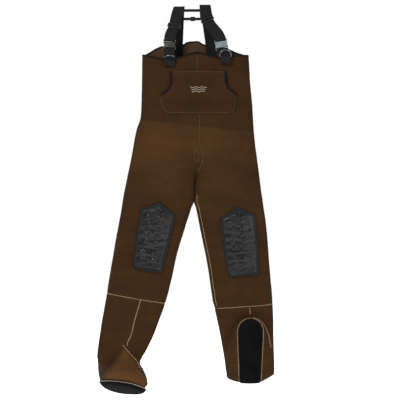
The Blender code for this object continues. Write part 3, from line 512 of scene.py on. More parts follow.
def metal(name):
    n = Nodes(name, (0.15, 0.152, 0.155), 0.30, metallic=1.0)
    where = n.place()
    wear = n.noise(where, 220.0, 4.0)
    n.colour(n.ramp(wear, [(0.3, (0.09, 0.092, 0.095)), (0.7, (0.21, 0.213, 0.218))]))
    n.roughness(wear, 0.18, 0.42)
    n.bump(n.noise(where, 700.0), 0.00006, 0.6)
    return n.material


def thread_material(name, dark, light):
    n = Nodes(name, light, 0.7, sheen=0.05, specular=0.1)
    where = n.place()
    ply = n.wave(where, 900.0, 2.0, "DIAGONAL")
    n.colour(n.ramp(n.noise(where, 120.0), [(0.3, dark), (0.7, light)]))
    n.bump(ply, 0.0001, 0.8)
    return n.material


BROWN = neoprene("brown_neoprene", (0.0205, 0.0090, 0.0028), (0.0325, 0.0143, 0.0044),
                 (0.0520, 0.0230, 0.0074))
LINING = neoprene("lining_neoprene", (0.046, 0.026, 0.013), (0.062, 0.036, 0.019), (0.080, 0.047, 0.026))
TAPE = neoprene("binding_tape", (0.0050, 0.0035, 0.0030), (0.0072, 0.0050, 0.0042), (0.0105, 0.0075, 0.0062))
WEBBING = webbing("black_webbing", (0.0028, 0.0028, 0.0031), (0.0098, 0.0098, 0.0108))
PAD_FIELD = rubber("knee_rubber", (0.0026, 0.0027, 0.0026), (0.0052, 0.0053, 0.0049), 0.24, 520.0, 0.33)
PAD_EDGE = rubber("knee_border", (0.0036, 0.0046, 0.0054), (0.0072, 0.0088, 0.0100), 0.42, 600.0, 0.16)
SOLE = rubber("sole_rubber", (0.0020, 0.0021, 0.0022), (0.0046, 0.0047, 0.0048), 0.80, 420.0, 0.03)
DARK_PLASTIC = moulded("dark_buckle", (0.0190, 0.0185, 0.0170), (0.0300, 0.0290, 0.0265), 0.24, 0.30)
BLACK_PLASTIC = moulded("black_plastic", (0.0060, 0.0060, 0.0062), (0.0095, 0.0095, 0.0098), 0.32, 0.10)
LIGHT_PLASTIC = moulded("light_buckle", (0.095, 0.122, 0.132), (0.170, 0.205, 0.214), 0.26, 0.20)
SLIDER_PLASTIC = moulded("slider_plastic", (0.0070, 0.0072, 0.0075), (0.0110, 0.0112, 0.0116), 0.34, 0.10)
METAL = metal("ring_steel")
TAN_THREAD = thread_material("tan_thread", (0.330, 0.225, 0.115), (0.470, 0.345, 0.195))
DIM_THREAD = thread_material("dim_thread", (0.075, 0.043, 0.018), (0.135, 0.082, 0.038))
DARK_THREAD = thread_material("dark_thread", (0.015, 0.013, 0.012), (0.03, 0.027, 0.025))
PALE_THREAD = thread_material("pale_thread", (0.30, 0.26, 0.20), (0.44, 0.39, 0.31))

# The shell's surface


def surface(side, u, z):
    """Points of one half's outer surface: u runs from the front seam round the side to the back seam."""
    u, z = np.broadcast_arrays(np.asarray(u, float), np.asarray(z, float))
    seam_x = along(CENTRE, z)
    slope = along(SLOPE[side], z)
    outer_x = along(OUTER[side], z)
    below = z <= CROTCH_BOTTOM
    inner_x = np.where(below, along(INNER[side], z), seam_x)
    middle = (outer_x + inner_x) / 2
    outer_x = along(OUTER[side], z + slope * (outer_x - middle))
    tilted = along(INNER[side], z + slope * (inner_x - middle))
    near = (np.abs(tilted - seam_x) < 0.02) & (z > -0.80)
    tilted = np.where(near, seam_x + (tilted - seam_x) * smooth(-0.76, -0.80, z), tilted)
    inner_x = np.where(below, tilted, inner_x)
    depth = along(HALF_DEPTH, z)
    power = along(ROUNDNESS, z)
    x, y = rounded(-math.pi / 2 + math.pi * u, power)
    body_x, body_y = seam_x + (outer_x - seam_x) * x, depth * y
    slit = math.radians(0.02)
    x, y = rounded(-math.pi + slit + (2 * math.pi - 2 * slit) * u, power)
    middle = (outer_x + inner_x) / 2
    leg_x, leg_y = middle + (outer_x - inner_x) / 2 * x, depth * y
    share = smooth(CROTCH_TOP, CROTCH_BOTTOM, z)
    x = body_x + (leg_x - body_x) * share
    y = body_y + (leg_y - body_y) * share
    return np.stack([x, y, z + slope * (x - middle)], -1)


def rim_height(side, u, drop):
    """How high the bib reaches at each place round it, less a drop."""
    x = surface(side, u, -0.2)[..., 0]
    return np.where(u < 0.5, along(FRONT_EDGE, x), along(BACK_EDGE, x)) - drop


def legs_touch(z):
    """1 at the heights where the two halves touch or nearly do, below the body."""
    return smooth(-0.585, -0.615, z) * smooth(-0.810, -0.785, z)


def hem_groove(z, hem_z):
    """How far a hem's stitching draws the cloth in."""
    return HEM_DEPTH * hump(z, hem_z, HEM_REACH)


def leg_middle(side, z):
    return surface(side, np.arange(24) / 24, z).mean(0)


def soft(points, normals):
    """The slack and handling marks of thick cloth, pushed along its normals."""
    x, y, z = points[..., 0], points[..., 1], points[..., 2]
    push = 0.0017 * noise(points, 0.120, 1) + 0.0009 * noise(points, 0.050, 2)
    push += 0.00025 * noise(points, 0.014, 3)
    ahead = smooth(0.0, -0.03, y)
    wander = 0.010 * noise(points, 0.09, 5)
    below = -0.482 - 0.11 * x + 0.4 * wander - z
    bulge = 0.0022 * np.exp(-np.abs(np.minimum(below, 0)) / 0.035) * smooth(-0.003, -0.012, below)
    hollow = 0.0042 * np.exp(-np.maximum(below, 0) / 0.045) * smooth(0.0, 0.010, below)
    push += (bulge - hollow) * ahead * smooth(-0.30, -0.46, z)
    push -= 0.0020 * hump(z - wander + 0.06 * x, -0.612, 0.016) * ahead
    touching = legs_touch(z) * smooth(0.040, 0.012, np.abs(x + 0.004))
    push = push * (1 - touching) + 0.0006 * touching
    behind = smooth(-0.01, 0.03, y)
    ripple = np.sin((z + wander) * 2 * math.pi / 0.030 + 4 * noise(points, 0.10, 6))
    push += 0.0021 * ripple * hump(z, KNEE_Z + 0.01, 0.045) * behind
    push += 0.0008 * ripple * hump(z, KNEE_Z, 0.060) * ahead
    reach = np.hypot(x - 0.005, (z + 0.70) * 0.6)
    angle = np.arctan2(z + 0.66, np.abs(x - 0.005) + 0.02)
    push += 0.0016 * np.sin(angle * 9 + 2 * noise(points, 0.08, 7)) * hump(reach, 0.07, 0.05)
    return points + normals * push[..., None]


def seam_groove(grid):
    """How deep each row's two edges are drawn in by their stitching."""
    step = np.linalg.norm(np.diff(grid, axis=1), axis=2)
    start = np.concatenate([np.zeros((len(grid), 1)), np.cumsum(step, 1)], 1)
    z = grid[..., 2]
    pucker = 0.5 + 0.5 * np.sin(z * 2 * math.pi / 0.014 + 3 * noise(grid, 0.05, 9))
    depth = 0
    for away in (start, start[:, -1:] - start):
        depth = depth + 0.0010 * hump(away, 0, 0.0022) + 0.0006 * pucker * hump(away, 0, 0.011)
    return depth * (1 - legs_touch(z))


def half_grid(side):
    """One half of the waders from the bib's rim to the seam below the knee."""
    near = np.array([0, 0.003, 0.007, 0.012, 0.019])
    u = np.concatenate([near, np.linspace(0.028, 0.972, 82), 1 - near[::-1]])[None, :]
    t = np.linspace(0, 1, 15)[:, None]
    hem_z = CROSS_SEAM_Z[side]
    level = np.concatenate([rim_height(side, u, 0.0050) * (1 - t) - 0.29 * t,
                            np.arange(-0.296, hem_z + 0.001, -ROW_STEP)[:, None] + 0 * u,
                            0 * u + hem_z + 0.0003])
    plain = surface(side, u, level)
    normals = grid_normals(plain, False, plain - plain.mean(1, keepdims=True))
    joined = plain[:, 0, 2] > JOINED_ABOVE
    normals[joined, 0] = FORWARD
    normals[joined, -1] = -FORWARD
    grid = soft(plain, normals)
    return grid - normals * (seam_groove(plain) + hem_groove(level, hem_z))[..., None], normals


def blend_leg(obj, side):
    """Bake a piece's transform into its mesh. The leg's middle above and below the knee is found but not
    used, so nothing is bent.
    """
    tuple(leg_middle(side, KNEE_Z + 0.085))
    tuple(leg_middle(side, KNEE_Z - 0.085))
    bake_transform(obj)


GRIDS = {}


def make_half(side):
    """One half of the body with its leg down to the shin, brown outside and paler inside."""
    grid, normals = half_grid(side)
    GRIDS[side] = grid
    obj = skin(f"{side}_half", grid, grid - normals * WALL, [BROWN, LINING])
    faces = (grid.shape[0] - 1) * (grid.shape[1] - 1)
    marks = np.zeros(len(obj.data.polygons), np.int32)
    marks[faces:2 * faces] = 1
    obj.data.polygons.foreach_set("material_index", marks)
    stand_for(obj, "neoprene", None, f"{side}_body_panel", f"{side}_shin_panel")
    return obj


def foot_ring(drop, scale, inset):
    """A ring of the right sock, from the shaft's own ring at drop 0 to the outline of the sole at drop 1."""
    front, back, half = (along(table, drop) for table in (FOOT_FRONT, FOOT_BACK, FOOT_HALF_WIDTH))
    share = smooth(0, 0.45, drop)
    start = surface("right", TURN, ANKLE_Z["right"])
    x, y = rounded(2 * math.pi * TURN - FOOT_YAW, 2.5)
    ahead = (front - back) / 2 + ((front + back) / 2 * scale - inset) * x
    across = (half * scale - inset) * y
    flat = ANKLE_MIDDLE + HEADING * ahead[:, None] + LATERAL * across[:, None]
    flat = start * (1 - share) + flat * share
    sole_z = SOLE_Z - SOLE_PITCH * ahead + SOLE_ROLL * across + inset * smooth(0.7, 1, drop)
    flat[:, 2] = start[:, 2] + (sole_z - start[:, 2]) * drop
    return flat


FOOT_YAW = math.radians(55)
HEADING = np.array([math.cos(FOOT_YAW), -math.sin(FOOT_YAW), 0])
LATERAL = np.array([-math.sin(FOOT_YAW), -math.cos(FOOT_YAW), 0])
ANKLE_MIDDLE = np.array([-0.3115, 0.0, 0.0])
SOLE_Z = -1.535
SOLE_PITCH = -0.118
SOLE_ROLL = 0.47
FOOT_FRONT = [(0.0, 0.062), (0.2, 0.100), (0.5, 0.143), (0.7, 0.158), (0.85, 0.164), (1.0, 0.160)]
FOOT_BACK = [(0.0, 0.070), (0.3, 0.092), (0.6, 0.102), (0.8, 0.100), (1.0, 0.092)]
FOOT_HALF_WIDTH = [(0.0, 0.064), (0.25, 0.070), (0.5, 0.067), (0.85, 0.057), (1.0, 0.048)]
EDGE_SCALE = [(0.0, 1.0), (0.78, 1.0), (0.86, 0.995), (0.95, 0.95), (1.0, 0.86)]


def shaft_rows(side, low):
    """Rings of a bootie's shaft, from the seam below the knee down to a height."""
    return surface(side, TURN[None, :], np.arange(CROSS_SEAM_Z[side] - 0.0003, low, -ROW_STEP)[:, None])


def ankle_creases(points, side):
    """Creases round the ankle, deepest over the instep."""
    aside = points[..., 0] - leg_middle(side, -1.40)[0]
    z = points[..., 2] + 0.006 * noise(points, 0.06, 12) + 0.04 * aside
    crease = np.sin((z - ANKLE_Z[side]) * 2 * math.pi / 0.026) * hump(z, ANKLE_Z[side] - 0.002, 0.034)
    return 0.0015 * crease * (0.25 + 0.75 * smooth(0.02, -0.03, points[..., 1]))


def beyond(points, start, end):
    """How far points lie to the right of a line drawn over the front from start down to end."""
    a, b = np.array(start), np.array(end)
    run = (b - a) / np.linalg.norm(b - a)
    return -((points[..., 0] - a[0]) * run[1] - (points[..., 2] - a[1]) * run[0])


def instep_folds(points, normals):
    """The fold where the shaft drops onto the instep, and the edge where it tucks behind the foot."""
    ahead = smooth(0.0, -0.02, points[..., 1])
    fold = beyond(points, (-0.288, -1.362), (-0.378, -1.486))
    tuck = beyond(points, (-0.288, -1.362), (-0.222, -1.440))
    low = smooth(-1.345, -1.430, points[..., 2])
    inside = smooth(0.004, -0.010, tuck)
    push = 0.0100 * smooth(0.0, 0.018, fold) * inside * low - 0.0035 * hump(fold, -0.002, 0.007) * low
    sunk = smooth(0.0, 0.010, tuck) * smooth(0.070, 0.030, tuck)
    push -= 0.0050 * sunk * smooth(-1.345, -1.375, points[..., 2])
    return normals * (push * ahead * smooth(-1.530, -1.500, points[..., 2]))[..., None]


def make_right_bootie():
    """The right bootie, in one piece from its seam below the knee to the closed end under its sole."""
    drops = np.linspace(0, 1, 30)[1:]
    shaft = shaft_rows("right", ANKLE_Z["right"] + 0.003)
    rings = [foot_ring(0.0, 1.0, 0.0)]
    rings += [foot_ring(d, along(EDGE_SCALE, d), 0.0) for d in drops]
    rings += closing(rings[-1], (0.75, 0.5, 0.25, 0.05))
    plain = np.concatenate([shaft, np.array(rings)])
    outward = plain - plain.mean(1, keepdims=True)
    outward[-5:] = -UP
    normals = grid_normals(plain, True, outward)
    normals[-4:] = normals[-5].mean(0)
    in_sole = len(shaft) + len(drops) - 6
    fade = np.ones(len(plain))
    fade[in_sole:] = 0
    fade[:2] = 0.3
    push = soft(plain, normals) - plain + normals * ankle_creases(plain, "right")[..., None]
    push += instep_folds(plain, normals)
    hem = hem_groove(plain[..., 2], plain[0, :, 2])
    grid = plain + push * fade[:, None, None] - normals * hem[..., None]
    GRIDS["right_bootie"] = grid
    obj = skin("right_bootie", grid, grid - normals * WALL, BROWN, closed=True, cap=True)
    stand_for(obj, "neoprene", None, "right_bootie_shaft", "right_bootie_foot")
    return obj


def make_right_sole():
    """The rubber cup under the right foot, with a rounded edge."""
    walls = []
    for inset in (-0.0050, -0.0008):
        rings = [foot_ring(d, along(EDGE_SCALE, d), inset) for d in np.linspace(0.86, 1, 9)]
        rings += closing(rings[-1], (0.93, 0.78, 0.6, 0.4, 0.2, 0.03))
        walls.append(np.array(rings))
    GRIDS["right_sole"] = walls[0]
    obj = skin("right_sole_cup", *walls, SOLE, closed=True, cap=True)
    stand_for(obj, "sole_rubber", "right_foot", "right_sole")


FOLD_MIDDLE = 0.2155
FOLD_HALF_WIDTH = 0.094
FOLD_TOP = -1.239
FOLD_BOTTOM = -1.504
FOLD_BOTTOM_RISE = {"inner": 0.20, "outer": 0.52}
FOLD_FLAT_HALF_WIDTH = 0.040
FOLD_BACK = -0.0405
FOLD_FRONT = -0.0800
HEEL_RADIUS = 0.0295
HEEL_HALF_WIDTH = 0.081


def folded_slice(offset, count):
    """The side view of the folded foot at one distance from its middle, as a ring of points."""
    t = min(0.9995, abs(offset) / FOLD_HALF_WIDTH)
    heel = max(0.0, 1 - (abs(offset) / HEEL_HALF_WIDTH) ** 2.3) ** (1 / 2.3)
    axis = ANKLE_Z["left"]
    top = axis + 0.030 + (FOLD_TOP - axis - 0.030) * (1 - t**2.2) ** (1 / 2.2)
    rise = FOLD_BOTTOM_RISE["outer" if offset > 0 else "inner"]
    rise *= max(0.0, abs(offset) - FOLD_FLAT_HALF_WIDTH)
    bottom = axis - 0.010 + (FOLD_BOTTOM + rise - axis + 0.010) * (1 - t**6) ** (1 / 6)
    edge = 0.35 - 0.28 * smooth(0.050, 0.090, -offset)
    full = (1 - t**4) ** 0.25 * (1 - 0.45 * smooth(0.046, 0.088, -offset))
    front = FOLD_BACK - (FOLD_BACK - FOLD_FRONT) * (edge + (1 - edge) * full)
    radius = 0.001 + (HEEL_RADIUS - 0.001) * heel
    sink = 0.004 * (1 - heel)
    drop = axis - bottom
    ring = [(FOLD_BACK, axis + 0.004), (FOLD_BACK, (top + axis) / 2), (FOLD_BACK, top - 0.020),
            (FOLD_BACK - 0.006, top - 0.006), ((FOLD_BACK + front) / 2, top), (front + 0.006, top - 0.006),
            (front, top - 0.020), (front, (top + axis) / 2), (front, axis - 0.004),
            (front + 0.010, axis - drop * 0.62), (front + 0.026, axis - drop * 0.93),
            (front * 0.45, axis - drop), (-0.004, axis - drop)]
    for degrees in (12, 45, 80, 110, 145, 180, 215, 250, 262):
        angle = math.radians(degrees)
        ring.append((radius * math.sin(angle), axis - sink - radius * math.cos(angle)))
    ring += [(-radius - 0.001, axis - 0.0012 - sink), (FOLD_BACK, axis - 0.0012)]
    flat = np.array([(FOLD_MIDDLE + offset, y, z) for y, z in ring])
    loop = np.vstack([flat, flat[:1]])
    length = travelled(loop)
    out = resample(loop, np.linspace(0, 1, count, endpoint=False) * length[-1], length)
    for _ in range(2):
        out = 0.5 * out + 0.25 * (np.roll(out, 1, 0) + np.roll(out, -1, 0))
    return out


def make_left_foot():
    """The folded foot: doubled neoprene, flat on the shaft, rolling over at its heel."""
    spans = np.sin(np.linspace(-math.pi / 2, math.pi / 2, 61)) * FOLD_HALF_WIDTH * 0.9995
    rings = np.array([folded_slice(s, 132) for s in spans])
    normals = grid_normals(rings, True, rings - rings.mean(1, keepdims=True))
    normals[:2] = (-1, 0, 0)
    normals[-2:] = (1, 0, 0)
    x, y, z = rings[..., 0], rings[..., 1], rings[..., 2]
    front = smooth(-0.058, -0.072, y)
    flat_sole = hump(x, FOLD_MIDDLE, 0.060) ** 0.5 * front
    push = 0.0011 * noise(rings, 0.045, 21) + 0.0004 * noise(rings, 0.016, 22)
    wave = np.sin((z + 0.6 * np.abs(x - FOLD_MIDDLE)) * 2 * math.pi / 0.034 + 2 * noise(rings, 0.05, 23))
    push += 0.0016 * wave * front * smooth(0.045, 0.075, np.abs(x - FOLD_MIDDLE)) * smooth(-1.30, -1.42, z)
    push *= (1 - 0.9 * flat_sole) * smooth(0.0, 0.012, FOLD_HALF_WIDTH - np.abs(x - FOLD_MIDDLE))
    back = smooth(-0.046, -0.041, y) * smooth(ANKLE_Z["left"], ANKLE_Z["left"] + 0.01, z)
    rings = rings + normals * (push * (1 - back))[..., None]
    GRIDS["left_foot"] = rings
    obj = sweep("left_folded_foot", rings, BROWN)
    stand_for(obj, "neoprene", "left_foot", "left_bootie_foot")


def make_left_shaft():
    """The left bootie's shaft, whose hem hugs the rolled heel."""
    ankle = ANKLE_Z["left"]
    last = surface("left", TURN, ankle + 0.003)
    middle = last.mean(0)[0]
    behind = smooth(-0.005, 0.005, last[:, 1])
    hem = []
    for drop, depth, width in ((0.000, 0.98, 1.0), (0.006, 0.93, 0.992), (0.012, 0.84, 0.975),
                               (0.017, 0.74, 0.95)):
        ring = last.copy()
        ring[:, 0] = middle + (last[:, 0] - middle) * (1 + (width - 1) * behind)
        ring[:, 1] = last[:, 1] * (1 + (depth - 1) * behind)
        ring[:, 2] = ankle + 0.003 - drop * behind - 0.0005
        hem.append(ring)
    plain = np.concatenate([shaft_rows("left", ankle + 0.004), np.array(hem)])
    normals = grid_normals(plain, True, plain - plain.mean(1, keepdims=True))
    under_foot = smooth(-1.225, -1.245, plain[..., 2]) * smooth(-0.030, -0.0345, plain[..., 1])
    low = 1 - 0.7 * smooth(-1.43, -1.46, plain[..., 2])
    push = (soft(plain, normals) - plain) * ((1 - under_foot) * low)[..., None]
    grid = plain + push - normals * hem_groove(plain[..., 2], plain[0, :, 2])[..., None]
    GRIDS["left_shaft"] = grid
    thin = np.where(np.arange(len(grid)) > len(grid) - 6, WALL / 2, WALL)[:, None, None]
    obj = skin("left_bootie", grid, grid - normals * thin, BROWN, closed=True)
    stand_for(obj, "neoprene", None, "left_bootie_shaft")
    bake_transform(obj)


def sole_outline(count):
    """The left sole's outline as a closed loop of (x, z): round at the toe and narrower at the heel."""
    high, low = FOLD_TOP - 0.010, FOLD_BOTTOM - 0.001
    toe_radius = 0.050
    sides = []
    for t in np.linspace(0, 1, 41):
        z = high + (low - high) * (1 - math.cos(math.pi * t / 2))
        short = max(0.0, 1 - (high - z) / toe_radius)
        width = (0.0465 - 0.0065 * smooth(0.45, 1.0, t)) * math.sqrt(1 - short**2)
        sides.append((width, FOLD_MIDDLE - 0.002 * t, z))
    left = [(m - w, z) for w, m, z in sides]
    right = [(m + w, z) for w, m, z in reversed(sides[1:])]
    width, middle, _ = sides[-1]
    left[-1] = (middle - width + 0.002, low + 0.001)
    right[0] = (middle + width - 0.002, low + 0.001)
    left += [(middle + s * width, low - 0.0025 * (1 - s * s)) for s in np.linspace(-0.9, 0.9, 11)]
    loop = np.array(left + right + left[:1])
    length = travelled(loop)
    return resample(loop, np.linspace(0, length[-1], count, endpoint=False), length)


def make_left_sole():
    """A rubber plate with an eased edge, which curls back round the heel."""
    outline = sole_outline(160)
    middle = outline.mean(0)
    thickness = 0.0044
    steps = [(1.0, 0.0), (1.0, 0.0026), (0.992, 0.0036), (0.975, 0.0042)]
    steps += [(scale, thickness) for scale in (0.95, 0.88, 0.70, 0.45, 0.20, 0.03)]
    drop = ANKLE_Z["left"] - FOLD_BOTTOM
    levels = ANKLE_Z["left"] - drop * np.array([1.05, 0.93, 0.62, 0.30, -0.1])
    rings = []
    for scale, out in steps:
        place = middle + (outline - middle) * scale
        curl = np.interp(place[:, 1], levels, (0.033, 0.0235, 0.0085, 0.0015, 0.0))
        rings.append(np.stack([place[:, 0], FOLD_FRONT - 0.0004 - out + curl, place[:, 1]], 1))
    obj = sweep("left_sole_plate", np.array(rings), SOLE)
    stand_for(obj, "sole_rubber", "left_foot", "left_sole")


# Finding places on the finished cloth


class Cloth:
    """Where a point lies on the finished outer surfaces."""

    def __init__(self, grids, closed):
        points, faces = [], []
        start = 0
        for grid, round_it in zip(grids, closed):
            points.append(grid.reshape(-1, 3))
            faces += grid_faces(grid.shape[0], grid.shape[1], start, round_it)
            start += grid.shape[0] * grid.shape[1]
        self.tree = BVHTree.FromPolygons(np.concatenate(points).tolist(), faces)

    def front(self, x, z):
        """The first surface met from the front, just beside a place so that no seam is missed."""
        found = []
        for nudge in (-0.0016, 0.0016):
            hit, normal, _, _ = self.tree.ray_cast(Vector((x + nudge, -1, z)), Vector((0, 1, 0)))
            if hit is not None and hit.y < 0:
                found.append((hit.y, normal))
        if not found:
            return None
        y, normal = min(found, key=lambda f: f[0])
        return np.array([x, y, z]), np.array(normal if normal.y < 0 else -normal)

    def snap(self, point, towards):
        hit, normal, _, _ = self.tree.find_nearest(Vector(point))
        normal = np.array(normal)
        return np.array(hit), normal if normal @ towards > 0 else -normal


def trail(cloth, corners, step=0.004):
    """A line over the cloth through (x, z) places seen from the front, as rows of point and normal."""
    line = spline(corners, 80) if len(corners) > 2 else corners
    hits = [cloth.front(x, z) for x, z in spread(line, step)]
    return np.array([np.concatenate(hit) for hit in hits if hit is not None])


def facing_front(places):
    """A trail through places whose normals all point to the front."""
    return np.hstack([places, np.tile(FORWARD, (len(places), 1))])


def stitches(name, trails, material, body=None, style="zigzag", width=0.0030, pitch=0.0024, radius=0.00050):
    """Thread along trails of points and normals, as short rounded stitches that ride a body."""
    lift, gap_share = 0.0001, 0.0 if style == "zigzag" else 0.16
    starts, ends, ups = [], [], []
    for rows in trails:
        rows = spread(rows, pitch)
        if len(rows) < 3:
            continue
        p, n = rows[:, :3], unit(rows[:, 3:6])
        side = unit(np.cross(np.gradient(p, axis=0), n))
        sway = np.where(np.arange(len(p)) % 2 == 0, 1, -1)[:, None]
        for lane in {"zigzag": (sway,), "double": (-1, 1), "single": (0,)}[style]:
            q = p + side * lane * width / 2 + n * lift
            gap = (q[1:] - q[:-1]) * gap_share
            starts.append(q[:-1] + gap)
            ends.append(q[1:] - gap)
            ups.append(n[:-1])
    a, b, n = np.concatenate(starts), np.concatenate(ends), np.concatenate(ups)
    run = b - a
    side = unit(np.cross(run, n))
    n = unit(np.cross(side, run))
    sides, stations = 6, ((-0.04, 0.45), (0.10, 1.0), (0.90, 1.0), (1.04, 0.45))
    rings = []
    for t, r in stations:
        for k in range(sides):
            angle = 2 * math.pi * k / sides
            rings.append(a + run * t + (n * math.cos(angle) + side * math.sin(angle)) * radius * r)
    each = len(rings)
    points = np.array(rings).transpose(1, 0, 2).reshape(-1, 3)
    base = np.arange(len(a))[:, None, None] * each
    quads = base + np.array(grid_faces(len(stations), sides, 0, True))
    caps = base + np.array([range(sides), range(each - sides, each)])
    faces = quads.reshape(-1, 4).tolist() + caps.reshape(-1, sides).tolist()
    thread = new_object(name, points, faces, material)
    if body is not None:
        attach(thread, body)
    return thread


def shell_line(cloth, side, u, z, towards):
    """A trail over the cloth at places given on the shell's surface."""
    rows = []
    for point in surface(side, u, z):
        hit, normal = cloth.snap(point, np.array(towards(point), float))
        rows.append(np.concatenate([hit, normal]))
    return np.array(rows)


def sew_halves(cloth):
    """The zigzag seams down the front and the back, inside each leg, and round it below the knee."""
    pitch = 0.004
    front = shell_line(cloth, "left", 0.0, np.arange(-0.2035, -0.566, -pitch), lambda p: (0, -1, 0))
    back = shell_line(cloth, "left", 1.0, np.arange(-0.1500, -0.640, -pitch), lambda p: (0, 1, 0))
    stitches("body_seams", [front, back], DIM_THREAD, "waders", width=0.0024)
    for side in SIDES:
        z = np.arange(-0.756, CROSS_SEAM_Z[side] + 0.004, -pitch)
        sign = 1 if side == "left" else -1
        lines = [shell_line(cloth, side, 0.0, z, lambda p: (-sign, 0, 0))]
        if side == "left":
            lines.append(shell_line(cloth, side, 0.083, z, lambda p: (-0.5, -1, 0)))
        blend_leg(stitches(f"{side}_inseam_thread", lines, TAN_THREAD, width=0.0032, radius=0.00048), side)
        middle = leg_middle(side, CROSS_SEAM_Z[side])
        ring = shell_line(cloth, side, np.linspace(0, 1, 150), CROSS_SEAM_Z[side], lambda p: p - middle)
        stitches(f"{side}_cross_seam_thread", [ring], TAN_THREAD, f"{side}_shin", width=0.0034,
                 radius=0.00048)


def blend_right_ankle(obj):
    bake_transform(obj)


def sew_booties(cloth):
    """The booties' seams, the thread round the right sole, and the seam round the left one."""
    seam = [(-0.2190, -1.1760), (-0.2420, -1.2530), (-0.2570, -1.3140), (-0.2700, -1.3420),
            (-0.2740, -1.3600)]
    over = [(-0.2900, -1.3560), (-0.2740, -1.3760), (-0.2370, -1.4180), (-0.2200, -1.4470)]
    blend_right_ankle(stitches("right_bootie_thread", [trail(cloth, seam), trail(cloth, over)], TAN_THREAD,
                               width=0.0034, radius=0.00058))
    ring = GRIDS["right_sole"][1]
    ring = np.vstack([ring, ring[:1]])
    out = unit((ring - ring.mean(0)) * (1, 1, 0))
    stitches("right_sole_thread", [np.hstack([ring + out * 0.0001, out])], PALE_THREAD, "right_foot",
             pitch=0.0022, radius=0.00065)
    outline = sole_outline(120)
    middle = outline.mean(0)
    hits = [cloth.front(x, z) for x, z in middle + (outline - middle) * (1.10, 1.028)]
    around = np.array([np.concatenate(hit) for hit in hits if hit is not None and hit[0][1] < -0.060])
    outer = trail(cloth, [(0.2260, -1.2425), (0.2600, -1.2600), (0.2840, -1.3050), (0.2970, -1.3640)])
    stitches("left_foot_thread", [around, outer], TAN_THREAD, "left_foot", radius=0.00048)
    shaft = trail(cloth, [(0.2130, -1.2070), (0.2160, -1.2350)])
    stitches("left_bootie_thread", [shaft], TAN_THREAD, "left_shin")


# Pieces laid on the front

LAY_GAP = 0.0012
KNEE_PADS = {
    "right": {"low": (-0.1945, -1.0620), "high": (-0.1485, -0.8200), "low_width": 0.124, "high_width": 0.144},
    "left": {"low": (0.1890, -1.0830), "high": (0.1665, -0.8400), "low_width": 0.130, "high_width": 0.144},
}
PAD_PEAK = 0.034
PAD_BORDER = 0.0105
# How high each row of crumples lies in a pad's field, and how far its strokes reach
CRUMPLE_ROWS = ((0.044, 0.013), (0.066, 0.020), (0.112, 0.020), (0.136, 0.018), (0.160, 0.020),
                (0.184, 0.014), (0.212, 0.012))


def laid_grid(cloth, x, z, lift, thickness):
    """The outer and inner grids of a piece lying on the front, with a clearance of lift under it."""
    y = np.empty(x.shape)
    last = -0.04
    for i in np.ndindex(x.shape):
        hit = cloth.front(x[i], z[i])
        last = hit[0][1] if hit is not None else last
        y[i] = last
    for _ in range(3):
        y[1:-1] = 0.5 * y[1:-1] + 0.25 * (y[2:] + y[:-2])
        y[:, 1:-1] = 0.5 * y[:, 1:-1] + 0.25 * (y[:, 2:] + y[:, :-2])
    back = np.stack([x, y - lift, z], -1)
    return back - np.stack([0 * x, thickness + 0 * x, 0 * x], -1), back


def pad_place(side, s, t):
    """Places on a knee pad: s from -1 to 1 across it, and t from its foot to its peaked top."""
    pad = KNEE_PADS[side]
    low, high = np.array(pad["low"]), np.array(pad["high"])
    length = np.linalg.norm(high - low)
    up = (high - low) / length
    across = np.array([up[1], -up[0]])
    height = t * length
    width = pad["low_width"] * (1 - t) + pad["high_width"] * t
    corner = 0.022
    short = np.clip(1 - height / corner, 0, 1)
    width = width - 2 * corner * (1 - np.sqrt(1 - short**2)) * 0.8
    peak = PAD_PEAK * (1 - np.abs(s)) ** 1.5 * smooth(0.55, 1.0, t)
    shoulder = -0.010 * np.abs(s) ** 8 * smooth(0.8, 1.0, t)
    rise = height + peak + shoulder
    place = low + up * rise[..., None] + across * (s * width / 2)[..., None]
    return place[..., 0], place[..., 1], s * width / 2, rise


def pad_arch(a, h):
    """How far places lie above the double arch, with its cusp under the peak, that ends the field."""
    reach = np.abs(a)
    return h - 0.258 + 0.012 * smooth(0.0, 0.014, reach) + 0.25 * np.maximum(reach - 0.012, 0)


def pad_relief(a, h, edge):
    """The pad's moulded relief: a raised border, an arch under the peak, and fans of crumples."""
    border = smooth(PAD_BORDER + 0.0012, PAD_BORDER - 0.0012, edge)
    groove = hump(edge, PAD_BORDER + 0.0022, 0.0013)
    relief = 0.0013 * border - 0.0011 * groove - 0.0016 * smooth(0.0028, 0.0, edge) ** 1.5
    field = smooth(PAD_BORDER + 0.003, PAD_BORDER + 0.008, edge)
    place = np.stack([a, 0 * a, h], -1)
    for row, (centre_h, reach) in enumerate(CRUMPLE_ROWS):
        for column, middle in enumerate((-0.029, 0.013)):
            lean = 6 * math.sin(5 * row + 3 * column)
            p = a - middle - 0.004 * math.sin(4 * row + column)
            q = h - centre_h - 0.003 * math.cos(7 * row + 2 * column)
            for stroke, degrees in enumerate((8 + lean, 34 + lean, 58 + lean)):
                c, d = math.cos(math.radians(degrees)), math.sin(math.radians(degrees))
                long_way = p * c + q * d
                cross_way = -p * d + q * c - 0.0030 * stroke + 0.0025 * (long_way / reach) ** 2
                taper = smooth(-0.35 * reach, 0.0, long_way) * smooth(1.15 * reach, 0.4 * reach, long_way)
                relief = relief + 0.0022 * taper * np.exp(-np.abs(cross_way / 0.0021) ** 1.5) * field
    relief = relief - 0.0012 * hump(pad_arch(a, h), 0.0, 0.0016) * field
    relief = relief - 0.0012 * hump(h - 0.090 - 0.02 * a, 0.0, 0.0016) * field
    crumple = 0.7 * noise(place, (0.014, 1, 0.009), 31) + 0.6 * noise(place, 0.005, 32)
    return relief + 0.0007 * crumple * field


